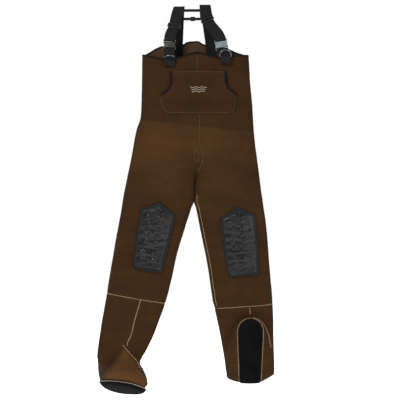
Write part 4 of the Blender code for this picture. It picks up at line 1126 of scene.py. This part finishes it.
def make_knee_pad(cloth, side):
    """A moulded pad over the knee, with a border of its own rubber and a thread just inside its edge."""
    rows, columns = 190, 104
    s = np.sin(np.linspace(-1, 1, columns) * math.pi / 2 * 0.995)[None, :] * np.ones((rows, 1))
    t = (1 - np.cos(np.linspace(0, 1, rows) * math.pi)) / 2
    t = (0.35 * t + 0.65 * np.linspace(0, 1, rows))[:, None] * np.ones((1, columns))
    x, z, a, h = pad_place(side, s, t)
    places = np.stack([a, h], -1)
    outline = np.concatenate([places[0], places[:, -1], places[-1, ::-1], places[::-1, 0]])
    places = places.reshape(-1, 1, 2)
    run = np.roll(outline, -1, 0) - outline
    share = np.sum((places - outline) * run, -1) / np.maximum(np.sum(run * run, -1), 1e-12)
    nearest = outline + run * np.clip(share, 0, 1)[..., None]
    edge = np.linalg.norm(places - nearest, axis=-1).min(1).reshape(a.shape)
    outer, inner = laid_grid(cloth, x, z, 0.0006, 0.0038 + pad_relief(a, h, edge))
    on_border = (edge[:-1, :-1] + edge[1:, 1:]) / 2 < PAD_BORDER
    above_arch = pad_arch(a, h)[:-1, :-1] > 0
    marks = (on_border | above_arch).astype(np.int32).ravel()
    obj = skin(f"{side}_knee_guard", outer, inner, [PAD_FIELD, PAD_EDGE], marks=marks)
    blend_leg(obj, side)
    stand_for(obj, "knee_rubber", None, f"{side}_knee_pad")
    loop = np.concatenate([outer[1, 1:-1], outer[1:-1, -2], outer[-2, 1:-1][::-1], outer[1:-1, 1][::-1],
                           outer[1:2, 1]])
    centre = outer.reshape(-1, 3).mean(0)
    lane = []
    for point in centre + (loop - centre) * (0.982, 1, 0.990):
        near = np.linalg.norm((outer - point)[..., [0, 2]], axis=-1)
        i = np.unravel_index(near.argmin(), near.shape)
        lane.append([point[0], outer[i][1] - 0.0002, point[2]])
    blend_leg(stitches(f"{side}_knee_thread", [facing_front(np.array(lane))], DARK_THREAD, None, "single",
                       pitch=0.0034, radius=0.00045), side)


POCKET_LEFT_EDGE = [(-0.440, -0.108), (-0.425, -0.130), (-0.398, -0.142), (-0.370, -0.141), (-0.354, -0.121),
                    (-0.338, -0.107), (-0.313, -0.098), (-0.268, -0.100)]
POCKET_RIGHT_EDGE = [(-0.440, 0.116), (-0.434, 0.142), (-0.415, 0.157), (-0.381, 0.160), (-0.361, 0.159),
                     (-0.348, 0.140), (-0.331, 0.125), (-0.309, 0.118), (-0.268, 0.118)]
POCKET_TOP = -0.268
POCKET_BOTTOM = -0.440
POCKET_HEIGHT = POCKET_TOP - POCKET_BOTTOM
POCKET_MOUTH_END = -0.362
POCKET_PUFF = 0.0100


def pocket_lift(s, t):
    """How far the pocket's cloth stands off the chest, flat along its edges where it is sewn."""
    rise = np.clip(1.7 * np.sin(math.pi * np.minimum(1.0, t * 1.02)), 0, 1) ** 0.8
    z = POCKET_TOP - POCKET_HEIGHT * t
    closed_side = 1 - smooth(POCKET_MOUTH_END - 0.014, POCKET_MOUTH_END + 0.006, z)
    return LAY_GAP + POCKET_PUFF * rise * (1 - closed_side * np.abs(2 * s - 1) ** 6)


def make_pocket(cloth):
    """The chest pocket's one panel, whose outer grid is returned for its thread and bindings."""
    rows, columns = 72, 100
    t = np.linspace(0, 1, rows)[:, None] * np.ones((1, columns))
    s = ((1 - np.cos(np.linspace(0, 1, columns) * math.pi)) / 2 * 0.3 + np.linspace(0, 1, columns) * 0.7)
    s = s[None, :] * np.ones((rows, 1))
    z = POCKET_TOP - POCKET_HEIGHT * t
    low, high = along(POCKET_LEFT_EDGE, z), along(POCKET_RIGHT_EDGE, z)
    x = low + (high - low) * s
    z = z + 0.0035 * (1 - (2 * s - 1) ** 2) * (1 - t) * smooth(0.3, 0.0, t)
    where = np.stack([x, 0 * x, z], -1)
    soft_push = 0.0009 * noise(where, 0.035, 41) + 0.0005 * noise(where, 0.014, 42)
    inside = np.minimum(np.minimum(s, 1 - s) * (high - low), (1 - t) * POCKET_HEIGHT)
    below_top = t * POCKET_HEIGHT
    sewn = 1 - smooth(POCKET_MOUTH_END - 0.010, POCKET_MOUTH_END + 0.004, z)
    stitched = hump(inside, 0.0052, 0.0016) * sewn
    top_line = hump(below_top, 0.0062, 0.0016)
    thickness = 0.0030 * (0.35 + 0.65 * smooth(0.0, 0.0030, np.minimum(inside, below_top)))
    thickness = thickness + soft_push * smooth(0, 0.02, inside) - 0.0008 * np.maximum(stitched, top_line)
    outer, inner = laid_grid(cloth, x, z, pocket_lift(s, t) - 0.0009, thickness)
    obj = skin("chest_pocket", outer, inner, BROWN)
    stand_for(obj, "neoprene", "waders", "pocket_panel")
    return outer


def sew_pocket(face):
    """The pocket's double stitching, and three plain waves of thread where the real one has its mark."""
    chest = Cloth([face], [False])
    top = [(-0.0960, POCKET_TOP - 0.0058), (0.010, POCKET_TOP - 0.0030), (0.1140, POCKET_TOP - 0.0058)]
    lower = [(float(along(POCKET_LEFT_EDGE, z)) + 0.0055, z) for z in np.linspace(-0.372, -0.4335, 9)]
    lower += [(x, POCKET_BOTTOM + 0.0052) for x in np.linspace(-0.100, 0.106, 8)]
    lower += [(float(along(POCKET_RIGHT_EDGE, z)) - 0.0055, z) for z in np.linspace(-0.4345, -0.372, 9)]
    stitches("pocket_thread", [trail(chest, top), trail(chest, lower, 0.003)], DIM_THREAD, "waders", "double",
             width=0.0022, pitch=0.0034, radius=0.00042)
    waves = []
    for k in range(3):
        x = np.linspace(-0.024 + 0.004 * k, 0.044 - 0.004 * k, 40)
        z = -0.335 - 0.0085 * k + 0.0022 * np.sin((x + 0.03) * 2 * math.pi / 0.024)
        waves.append(trail(chest, list(zip(x, z)), 0.002))
    stitches("chest_waves", waves, PALE_THREAD, "waders", width=0.0021, pitch=0.0008, radius=0.00040)


def make_pocket_binding(face, side):
    """The piping along one of the pocket's mouths, folded over its edge, with a line of thread on it."""
    chest = Cloth([face], [False])
    edge, inwards = (POCKET_RIGHT_EDGE, -1) if side == "left" else (POCKET_LEFT_EDGE, 1)
    z = POCKET_TOP - POCKET_HEIGHT * np.linspace(0.02, 0.57, 60)
    x = along(edge, z)
    hits = [chest.front(a + inwards * 0.003, b) for a, b in zip(x, z)]
    y = np.array([hit[0][1] if hit is not None else -0.075 for hit in hits])
    for _ in range(4):
        y[1:-1] = 0.5 * y[1:-1] + 0.25 * (y[2:] + y[:-2])
    path = np.stack([x + inwards * 0.0015, y - 0.0002, z], 1)
    across = unit(np.cross(unit(np.gradient(path, axis=0)), (0, 1, 0)))
    x, y = ellipse(14, 2.4)
    obj = sweep(f"{side}_pocket_piping", profile(path, across, FORWARD, x * 0.0043, y * 0.0019), TAPE)
    stand_for(obj, "binding", "waders", f"{side}_pocket_binding")
    away = across * np.sign(across[:, :1] * inwards)
    lane = path + away * 0.0026 + FORWARD * 0.00165
    stitches(f"{side}_piping_thread", [facing_front(lane)], DARK_THREAD, "waders", "single", pitch=0.0036,
             radius=0.00036)


def make_gusset(cloth):
    """The small diamond at the crotch, stitched round."""
    top, bottom = np.array([0.0135, -0.570]), np.array([0.0040, -0.650])
    rows, columns = 40, 15
    t = np.linspace(0.02, 0.98, rows)[:, None] * np.ones((1, columns))
    s = np.linspace(-1, 1, columns)[None, :] * np.ones((rows, 1))
    middle = top + (bottom - top) * t[..., None]
    x, z = middle[..., 0] + s * 0.0165 * np.sin(math.pi * t) ** 0.9, middle[..., 1]
    thickness = 0.0018 * (0.4 + 0.6 * (1 - np.abs(s) ** 6))
    outer, inner = laid_grid(cloth, x, z, 0.0006 + 0.0012 * t, thickness)
    obj = skin("gusset", outer, inner, BROWN)
    stand_for(obj, "neoprene", "waders", "crotch_gusset")
    patch = Cloth([outer, GRIDS["right"], GRIDS["left"]], [False, False, False])
    left = [(0.0150, -0.5670), (-0.0030, -0.5860), (-0.0080, -0.6070), (0.0010, -0.6300)]
    right = [(0.0150, -0.5670), (0.0280, -0.5950), (0.0230, -0.6350), (0.0080, -0.6670)]
    stitches("gusset_thread", [trail(patch, left, 0.003), trail(patch, right, 0.003)], DIM_THREAD, "waders",
             width=0.0026)


def make_top_binding():
    """The tape folded over the bib's rim, as one ring with a rounded top."""
    path, out = [], []
    for side, order in (("left", 1), ("right", -1)):
        u = np.linspace(0, 1, 161)[::order]
        line = surface(side, u, rim_height(side, u, 0.0085))
        normal = unit(np.cross(np.gradient(line, axis=0), UP))
        facing = np.sum(normal * (line - line.mean(0)), axis=1)
        normal *= np.where(facing > 0, 1, -1)[:, None]
        path.append(line[:-1])
        out.append(normal[:-1])
    path, out = np.concatenate(path), np.concatenate(out)
    for _ in range(3):
        out = unit(0.5 * out + 0.25 * (np.roll(out, 1, 0) + np.roll(out, -1, 0)))
    half_width, half_height = 0.0039, 0.0044
    x, y = ellipse(16, 2.6)
    wobble = 1 + 0.05 * noise(path, 0.02, 51)
    middle = path - out * WALL / 2 + UP * 0.0040
    rings = profile(middle, out, UP, x * half_width * wobble[:, None], y * half_height)
    obj = sweep("rim_binding", rings, TAPE, closed=True)
    stand_for(obj, "binding", "waders", "top_binding")
    rows = np.hstack([middle + out * half_width - UP * 0.0016, out])
    stitches("rim_thread", [np.vstack([rows, rows[:1]])], DARK_THREAD, "waders", "single", pitch=0.0036,
             radius=0.00036)


# Straps and hardware


def lean_y(z):
    return -STRAP_TOP_Y + STRAP_LEAN * z


def hardware_frame(point, tilt):
    """A frame on the leaning strap: +Z up along the strap and -Y facing out, turned by tilt in its plane."""
    x, z = point
    place = Matrix.Translation((x, lean_y(z), z))
    return place @ Matrix.Rotation(-LEAN_ANGLE, 4, "X") @ Matrix.Rotation(tilt, 4, "Y")


def in_plane(angle):
    """The way across a strap that is turned by an angle in the leaning plane."""
    return Matrix.Rotation(-LEAN_ANGLE, 3, "X") @ Matrix.Rotation(angle, 3, "Y") @ Vector((1, 0, 0))


def buckle_frame(side):
    return hardware_frame(BUCKLE_POINT[side], BUCKLE_TILT[side])


def ribbon(name, stations, thickness=0.0022, width=STRAP_WIDTH, frame=None, slack=0.0003):
    """Woven webbing through stations of centre and direction across, with rounded selvedges."""
    rows = np.array([[*centre, *unit(np.array(across, float))] for centre, across in stations], float)
    rows = spline(rows, max(12, int(travelled(rows)[-1] / 0.0025)))
    centre, across = rows[:, :3], unit(rows[:, 3:])
    run = unit(np.gradient(centre, axis=0))
    face = unit(np.cross(across, run))
    across = np.cross(run, face)
    s = np.linspace(-1, 1, 14)
    swell = np.sqrt(np.clip(1 - np.abs(s) ** 10, 0.12, 1))
    ribs = 1 + 0.10 * np.cos(s * math.pi * 6)
    half = thickness / 2 * swell * ribs
    side = np.concatenate([s, s[::-1]])
    lift = np.concatenate([half, -half[::-1]])
    ripple = slack * noise(centre, 0.03, 61)
    rings = profile(centre, across, face, side * width / 2, lift + ripple[:, None])
    if frame is not None:
        m = np.array(frame)
        rings = rings @ m[:3, :3].T + m[:3, 3]
    reach = travelled(centre)
    obj = sweep(name, rings, WEBBING, uv=cloth_uv(side * width / 2, reach))
    obj["length"] = float(reach[-1])
    return obj


def strap_route(side):
    top = STRAP_TOP_X[side]
    buckle_x, buckle_z = BUCKLE_POINT[side]
    tilt = BUCKLE_TILT[side]
    up = 0.0175
    end = (buckle_x + up * math.sin(tilt), buckle_z + up * math.cos(tilt), tilt)
    lean = ADJUSTER_TILT[side]
    if side == "right":
        return [(top, STRAP_TOP_Z[side], lean * 0.4), (top - 0.0035, -0.022, lean), (-0.0778, -0.045, lean),
                (-0.0868, -0.0875, lean), (-0.0925, -0.107, lean * 0.8), (-0.0995, -0.124, lean * 0.4), end]
    return [(top, STRAP_TOP_Z[side], 0), (top + 0.0006, -0.022, lean * 0.15),
            (top + 0.0018, -0.038, lean * 0.6), (0.0400, -0.0520, lean), (0.0640, -0.0920, lean), (0.0769, -0.1134, lean), end]


def make_shoulder_strap(side):
    """One strap, from inside the back panel over the top and down the front to its buckle."""
    x = STRAP_TOP_X[side]
    drift = {"right": -0.008, "left": 0.026}[side]
    foot = 0.0405
    route = [(1.0, foot - 0.0012, -0.225), (0.96, foot - 0.0015, -0.185), (0.92, foot - 0.0025, -0.158),
             (0.85, 0.0360, -0.140), (0.6, 0.0245, -0.095), (0.3, 0.0120, -0.045),
             (0.06, STRAP_TOP_Y + 0.0020, STRAP_TOP_Z[side] - 0.006)]
    tilt = math.atan2(drift, -0.19)
    across = (-math.cos(tilt), 0, -math.sin(tilt))
    stations = [((x + drift * t, y, z), across) for t, y, z in route]
    front = [((fx, lean_y(fz), fz), in_plane(turn)) for fx, fz, turn in strap_route(side)]
    stations.append(((x, -0.0009, STRAP_TOP_Z[side] + 0.0010), (1, 0, 0)))
    (fx, _, fz), turn = front[0]
    front[0] = ((fx, lean_y(fz) - 0.0006, fz - 0.0060), turn)
    stations += front
    obj = ribbon(f"{side}_shoulder_strap", stations)
    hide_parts(f"{side}_front_strap", f"{side}_back_strap")
    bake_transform(obj)


def make_strap_loop(side):
    frame = buckle_frame(side)
    tilt = ADJUSTER_TILT[side] - BUCKLE_TILT[side]
    head = frame.inverted() @ hardware_frame(ADJUSTER_POINT[side], 0).translation
    start = LOOP_START[side]
    head = Vector((head.x - start * math.sin(tilt), 0, head.z - start * math.cos(tilt)))
    level = -0.0046
    bulge = {"right": 0.0060, "left": 0.0016}[side]
    flat = (1, 0, 0)
    turned = (math.cos(tilt), 0, -math.sin(tilt))
    half = Vector(turned) + Vector(flat)
    stations = [
        ((head.x, level, head.z), turned),
        ((head.x * 0.72, level - bulge * 0.6, head.z * 0.78 + 0.003), Vector(turned) * 2 + Vector(flat)),
        ((head.x * 0.36, level - bulge, head.z * 0.52 + 0.006), half),
        ((head.x * 0.08, level - bulge * 0.7, 0.0235), flat),
        ((0, level - 0.0002, 0.0150), flat),
        ((0, -0.0040, 0.0098), flat),
        ((0, -0.0022, 0.0078), flat),
        ((0, 0.0, 0.0070), flat),
        ((0, 0.0022, 0.0078), flat),
        ((0, 0.0040, 0.0098), flat),
        ((0, 0.0044, 0.0150), flat),
        ((0, 0.0046, 0.0210), flat),
    ]
    width = 0.0435
    obj = ribbon(f"{side}_buckle_loop", stations, thickness=0.0018, width=width, frame=frame, slack=0.0)
    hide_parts(f"{side}_strap_loop")
    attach(obj, f"{side}_strap_end")


def make_buckle_webbing(side):
    frame = buckle_frame(side)
    bar = -0.0281
    local = [(0.0046, bar - 0.0090), (0.0046, bar + 0.0002), (0.0036, bar + 0.0036), (0.0, bar + 0.0049),
             (-0.0036, bar + 0.0036), (-0.0046, bar + 0.0002), (-0.0044, bar - 0.0080)]
    across = frame.to_3x3() @ Vector((1, 0, 0))
    stations = [(frame @ Vector((0, y, z)), across) for y, z in local]
    x, top = TAB_X[side], TAB_TOP_Z[side]
    level = Vector((1, 0, 0))
    stations += [((x - 0.0006, TAB_BACK_Y + 0.0012, top + 0.004), across + level),
                 ((x, TAB_BACK_Y + 0.0014, top - 0.006), level),
                 ((x, TAB_BACK_Y + 0.0014, top - 0.022), level)]
    obj = ribbon(f"{side}_bib_webbing", stations, thickness=0.0018, width=0.0425, slack=0.0)
    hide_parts(f"{side}_buckle_webbing")
    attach(obj, "waders")


def tab_frame(side):
    return Matrix.Translation((TAB_X[side], TAB_BACK_Y - 0.0038, TAB_TOP_Z[side] - 0.0070))


def make_tab(side):
    """Webbing folded over the ring's bar and sewn down below it."""
    path = [(0.0026, -0.0250), (0.0027, -0.0120), (0.0029, -0.0030), (0.0029, 0.0004), (0.0021, 0.0026),
            (0.0, 0.0034), (-0.0021, 0.0026), (-0.0030, 0.0004), (-0.0032, -0.0030), (-0.0030, -0.0120),
            (-0.0030, -0.0250)]
    stations = [((0, y, z), (1, 0, 0)) for y, z in path]
    obj = ribbon(f"{side}_ring_tab", stations, thickness=0.0016, width=0.0410, frame=tab_frame(side),
                 slack=0.0)
    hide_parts(f"{side}_strap_tab")
    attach(obj, "waders")
    centre = np.array(tab_frame(side).translation)
    half, low, high = 0.0180, -0.0220, -0.0065
    box = [(-half, low), (half, low), (half, high), (-half, high), (-half, low)]
    cross = [[(-half, low), (half, high)], [(-half, high), (half, low)]]
    lines = [facing_front(spread(np.array([(x, -0.0039, z) for x, z in corners]) + centre, 0.001))
             for corners in [box, *cross]]
    stitches(f"{side}_tab_thread", lines, DARK_THREAD, "waders", "single", pitch=0.0030, radius=0.00036)


def make_ring(side):
    """A D-ring bent from round wire: a straight bar on its hinge and a bow above it."""
    corner, arm = 0.004, RING_RADIUS
    bend, bow = np.linspace(0, math.pi / 2, 7), np.linspace(0.12, math.pi - 0.12, 44)
    path = [(x, 0, 0) for x in np.linspace(-arm + corner, arm - corner, 14)]
    path += [(arm - corner + corner * math.sin(a), 0, corner - corner * math.cos(a)) for a in bend[1:]]
    path += [(arm * math.cos(a), 0, 0.006 + arm * 0.92 * math.sin(a)) for a in bow]
    path += [(-arm + corner - corner * math.sin(a), 0, corner - corner * math.cos(a)) for a in bend[:0:-1]]
    path = np.array(path)
    x, y = ellipse(16, 2)
    rings = profile(path, loop_sides(path), -FORWARD, x * RING_WIRE, y * RING_WIRE)
    turn = np.array(Matrix.Rotation(RING_TILT[side], 3, "X"))
    rings = rings @ turn.T + np.array(tab_frame(side).translation)
    obj = sweep(f"{side}_wire_ring", rings, METAL, closed=True)
    stand_for(obj, "ring_metal", f"{side}_ring_body", f"{side}_d_ring")


def finer(cuts, step):
    """The same cutting planes with more between them, no further apart than a step."""
    out = [cuts[0]]
    for a, b in zip(cuts, cuts[1:]):
        count = max(1, math.ceil((b - a) / step))
        out += [a + (b - a) * k / count for k in range(1, count + 1)]
    return out


def blocks(name, xs, ys, zs, filled, material, frame, bevel=0.0008, warp=None, step=0.0030):
    """A solid from the filled cells of a grid of planes in its own frame, warped and with rounded edges."""
    xs, zs = finer(xs, step), finer(zs, step)
    cells = {(i, j, k) for i in range(len(xs) - 1) for j in range(len(ys) - 1) for k in range(len(zs) - 1)
             if filled((xs[i] + xs[i + 1]) / 2, (ys[j] + ys[j + 1]) / 2, (zs[k] + zs[k + 1]) / 2)}
    corner, points, faces = {}, [], []
    for cell in sorted(cells):
        for axis in range(3):
            for way in (0, 1):
                beside = list(cell)
                beside[axis] += 2 * way - 1
                if tuple(beside) in cells:
                    continue
                ring = []
                for da, db in ((0, 0), (1, 0), (1, 1), (0, 1)):
                    key = list(cell)
                    key[axis] += way
                    key[(axis + 1) % 3] += da
                    key[(axis + 2) % 3] += db
                    key = tuple(key)
                    if key not in corner:
                        corner[key] = len(points)
                        points.append((xs[key[0]], ys[key[1]], zs[key[2]]))
                    ring.append(corner[key])
                faces.append(ring if way else ring[::-1])
    points = np.array(points)
    if warp is not None:
        points = warp(points)
    obj = new_object(name, points, faces, material)
    ease = obj.modifiers.new("ease", "BEVEL")
    ease.width = bevel
    ease.segments = 3
    ease.limit_method = "ANGLE"
    ease.angle_limit = math.radians(40)
    obj.matrix_world = frame
    return obj


def crowned(amount, reach):
    """A warp that thins a moulding towards its sides and pinches its waist, as a release buckle is."""
    def warp(points):
        share = np.clip(np.abs(points[:, 0]) / reach, 0, 1) ** 2
        points = points.copy()
        points[:, 1] *= 1 - amount * share
        points[:, 0] *= 1 - 0.085 * hump(points[:, 2], -0.0085, 0.0055)
        return points
    return warp


def make_buckle(side):
    """A release buckle of two mouldings: a fork with its prongs, and the sleeve that takes them."""
    frame = buckle_frame(side)
    shade, material = ("dark", DARK_PLASTIC) if side == "right" else ("light", LIGHT_PLASTIC)
    half, rail, thin, tongue = 0.0250, 0.0228, 0.0022, 0.0045
    prong_in, prong_out = 0.0175, 0.0205
    mouth, wall = 0.0218, 0.0034

    def male(x, y, z):
        across, out = abs(x), abs(y)
        if z > 0.0105:
            return out < thin or across > rail
        if z > 0.0040:
            return across > rail
        if z > 0:
            return True
        arm = prong_in < across < prong_out and out < thin
        return arm or (across < tongue and out < thin and z > -0.0120)

    obj = blocks(f"{side}_buckle_fork", mirrored(tongue, prong_in, prong_out, rail, half),
                 mirrored(thin, 0.0045), [-0.0150, -0.0120, 0.0, 0.0040, 0.0105, 0.0140], male, material,
                 frame, 0.0007, crowned(0.18, half))
    stand_for(obj, f"buckle_{shade}", f"{side}_strap_end", f"{side}_male_buckle")

    def female(x, y, z):
        across, out = abs(x), abs(y)
        if z < -0.0262:
            return across > rail or out < thin
        if z < -0.0195:
            return across > rail and out < wall
        if z < -0.0175:
            return True
        if across < mouth and out < wall:
            return False
        return not (-0.0130 < z < -0.0065 and across > mouth and out < thin)

    obj = blocks(f"{side}_buckle_sleeve", mirrored(mouth, rail, half), mirrored(thin, wall, 0.0055),
                 [-0.0300, -0.0262, -0.0195, -0.0175, -0.0130, -0.0065, -0.0005], female, material, frame,
                 0.0007, crowned(0.12, half))
    stand_for(obj, f"buckle_{shade}", "waders", f"{side}_female_buckle")


def make_adjuster(side):
    """The ladder lock on a front strap: a frame with a cross bar, round the webbing's slot."""
    frame = hardware_frame(ADJUSTER_POINT[side], ADJUSTER_TILT[side])
    slot_x, slot_y, edge, bar, face = STRAP_WIDTH / 2 + 0.0007, 0.0019, 0.0265, 0.0045, 0.0040

    def filled(x, y, z):
        if abs(x) > slot_x:
            return -face < y or (abs(z) > bar and y < 0)
        if abs(y) < slot_y:
            return False
        if y < -face:
            return abs(z) > bar
        return y > 0 or abs(z) > bar

    obj = blocks(f"{side}_slide_frame", mirrored(slot_x, edge), [-0.0062, -face, -slot_y, slot_y, face],
                 mirrored(bar, 0.0075), filled, BLACK_PLASTIC, frame, 0.0008)
    stand_for(obj, "adjuster_plastic", f"{side}_adjuster_slide_body", f"{side}_adjuster")


CROSS_TOP, CROSS_BOTTOM = -0.0220, -0.0560
CROSS_HALF = 0.0055
CROSS_THICKNESS = 0.0018
SLIDER_X = -0.0130


def make_cross_strap():
    """The flat elastic looped between the strap tops, and the slide on its lower run."""
    low_x, high_x = -0.062, 0.028
    middle_z, reach = (CROSS_TOP + CROSS_BOTTOM) / 2, (CROSS_TOP - CROSS_BOTTOM) / 2
    bend = [(reach * 0.6 * math.sin(a), reach * math.cos(a)) for a in np.linspace(0, math.pi, 16)[1:-1]]
    path = [(x, 0, CROSS_TOP) for x in np.linspace(low_x, high_x, 24)]
    path += [(high_x + across, 0, middle_z + up) for across, up in bend]
    path += [(x, 0, CROSS_BOTTOM) for x in np.linspace(high_x, low_x, 24)]
    path += [(low_x - across, 0, middle_z - up) for across, up in bend]
    path = np.array(path)
    x, y = ellipse(20, 5)
    x, y = x * CROSS_HALF, y * CROSS_THICKNESS / 2
    obj = sweep("cross_loop", profile(path, loop_sides(path), -FORWARD, x, y), WEBBING, closed=True,
                uv=cloth_uv(x, travelled(path)))
    stand_for(obj, "webbing", "waders", "cross_strap")
    slot_z, slot_y, bar, side_bar = CROSS_HALF + 0.0006, CROSS_THICKNESS / 2 + 0.0005, 0.0015, 0.0060

    def filled(x, y, z):
        if abs(z) > slot_z:
            return True
        if abs(y) < slot_y:
            return False
        return y > 0 or abs(x) > side_bar or abs(x) < bar

    obj = blocks("cross_slide", mirrored(bar, side_bar, 0.0090), mirrored(slot_y, 0.0034),
                 mirrored(slot_z, 0.0085), filled, SLIDER_PLASTIC,
                 Matrix.Translation((SLIDER_X, 0, CROSS_BOTTOM)), 0.0006)
    stand_for(obj, "slider_plastic", "cross_slider_body", "cross_strap_slider")


# The stage


def add_stage():
    floor_material = bpy.data.materials.new("pale_floor")
    floor_material.use_nodes = True
    shader = floor_material.node_tree.nodes["Principled BSDF"]
    shader.inputs["Base Color"].default_value = (0.92, 0.92, 0.92, 1)
    shader.inputs["Roughness"].default_value = 0.9
    shader.inputs["Specular IOR Level"].default_value = 0.0
    shader.inputs["Emission Color"].default_value = (1, 1, 1, 1)
    shader.inputs["Emission Strength"].default_value = 0.62
    half = 6
    corners = [(-half, -half, 0), (half, -half, 0), (half, half, 0), (-half, half, 0)]
    floor = new_object("floor", corners, [(0, 1, 2, 3)], floor_material)
    floor.location = (0, 0, CAD_BOX[0][2] - 0.045)
    world = bpy.data.worlds.new("studio")
    world.use_nodes = True
    tree = world.node_tree
    dim = tree.nodes["Background"]
    dim.inputs["Color"].default_value = (1, 1, 1, 1)
    path = tree.nodes.new("ShaderNodeLightPath")
    softer = tree.nodes.new("ShaderNodeMapRange")
    tree.links.new(path.outputs["Is Glossy Ray"], softer.inputs["Value"])
    softer.inputs["To Min"].default_value = 0.36
    softer.inputs["To Max"].default_value = 0.10
    tree.links.new(softer.outputs[0], dim.inputs["Strength"])
    bright = tree.nodes.new("ShaderNodeBackground")
    bright.inputs["Color"].default_value = (1, 1, 1, 1)
    bright.inputs["Strength"].default_value = 1.0
    either = tree.nodes.new("ShaderNodeMixShader")
    tree.links.new(path.outputs["Is Camera Ray"], either.inputs[0])
    tree.links.new(dim.outputs[0], either.inputs[1])
    tree.links.new(bright.outputs[0], either.inputs[2])
    tree.links.new(either.outputs[0], tree.nodes["World Output"].inputs["Surface"])
    SCENE.world = world
    for name, place, size, power in (("key", (-1.6, -3.0, 1.9), 1.2, 150),
                                     ("fill", (2.4, -2.8, -0.3), 1.8, 34),
                                     ("back", (0.8, 3.0, 1.6), 1.6, 70)):
        data = bpy.data.lights.new(name, "AREA")
        data.shape = "DISK"
        data.size = size
        data.energy = power
        lamp = bpy.data.objects.new(name, data)
        lamp.location = place
        aim = Vector((0, 0, -0.75)) - Vector(place)
        lamp.rotation_euler = aim.to_track_quat("-Z", "Y").to_euler()
        SCENE.collection.objects.link(lamp)
    data = bpy.data.cameras.new("photo_view")
    data.sensor_width = 36
    data.lens = 112.5
    data.clip_end = 60
    camera = bpy.data.objects.new("photo_view", data)
    camera.location = (0.016, -5.0, -0.780)
    camera.rotation_euler = (math.pi / 2, 0, 0)
    SCENE.collection.objects.link(camera)
    SCENE.camera = camera
    SCENE.view_settings.view_transform = "Standard"


# Assembly

for each in SIDES:
    blend_leg(make_half(each), each)
blend_right_ankle(make_right_bootie())
make_right_sole()
make_left_shaft()
make_left_foot()
make_left_sole()
ORDER = ("right", "left", "right_bootie", "left_shaft", "left_foot")
CLOTH = Cloth([GRIDS[name] for name in ORDER], [False, False, True, True, True])
sew_halves(CLOTH)
sew_booties(CLOTH)
for each in SIDES:
    make_knee_pad(CLOTH, each)
POCKET_FACE = make_pocket(CLOTH)
sew_pocket(POCKET_FACE)
make_gusset(CLOTH)
make_top_binding()
for each in SIDES:
    make_pocket_binding(POCKET_FACE, each)
    make_shoulder_strap(each)
    make_strap_loop(each)
    make_buckle_webbing(each)
    make_tab(each)
    make_ring(each)
    make_buckle(each)
    make_adjuster(each)
make_cross_strap()
add_stage()
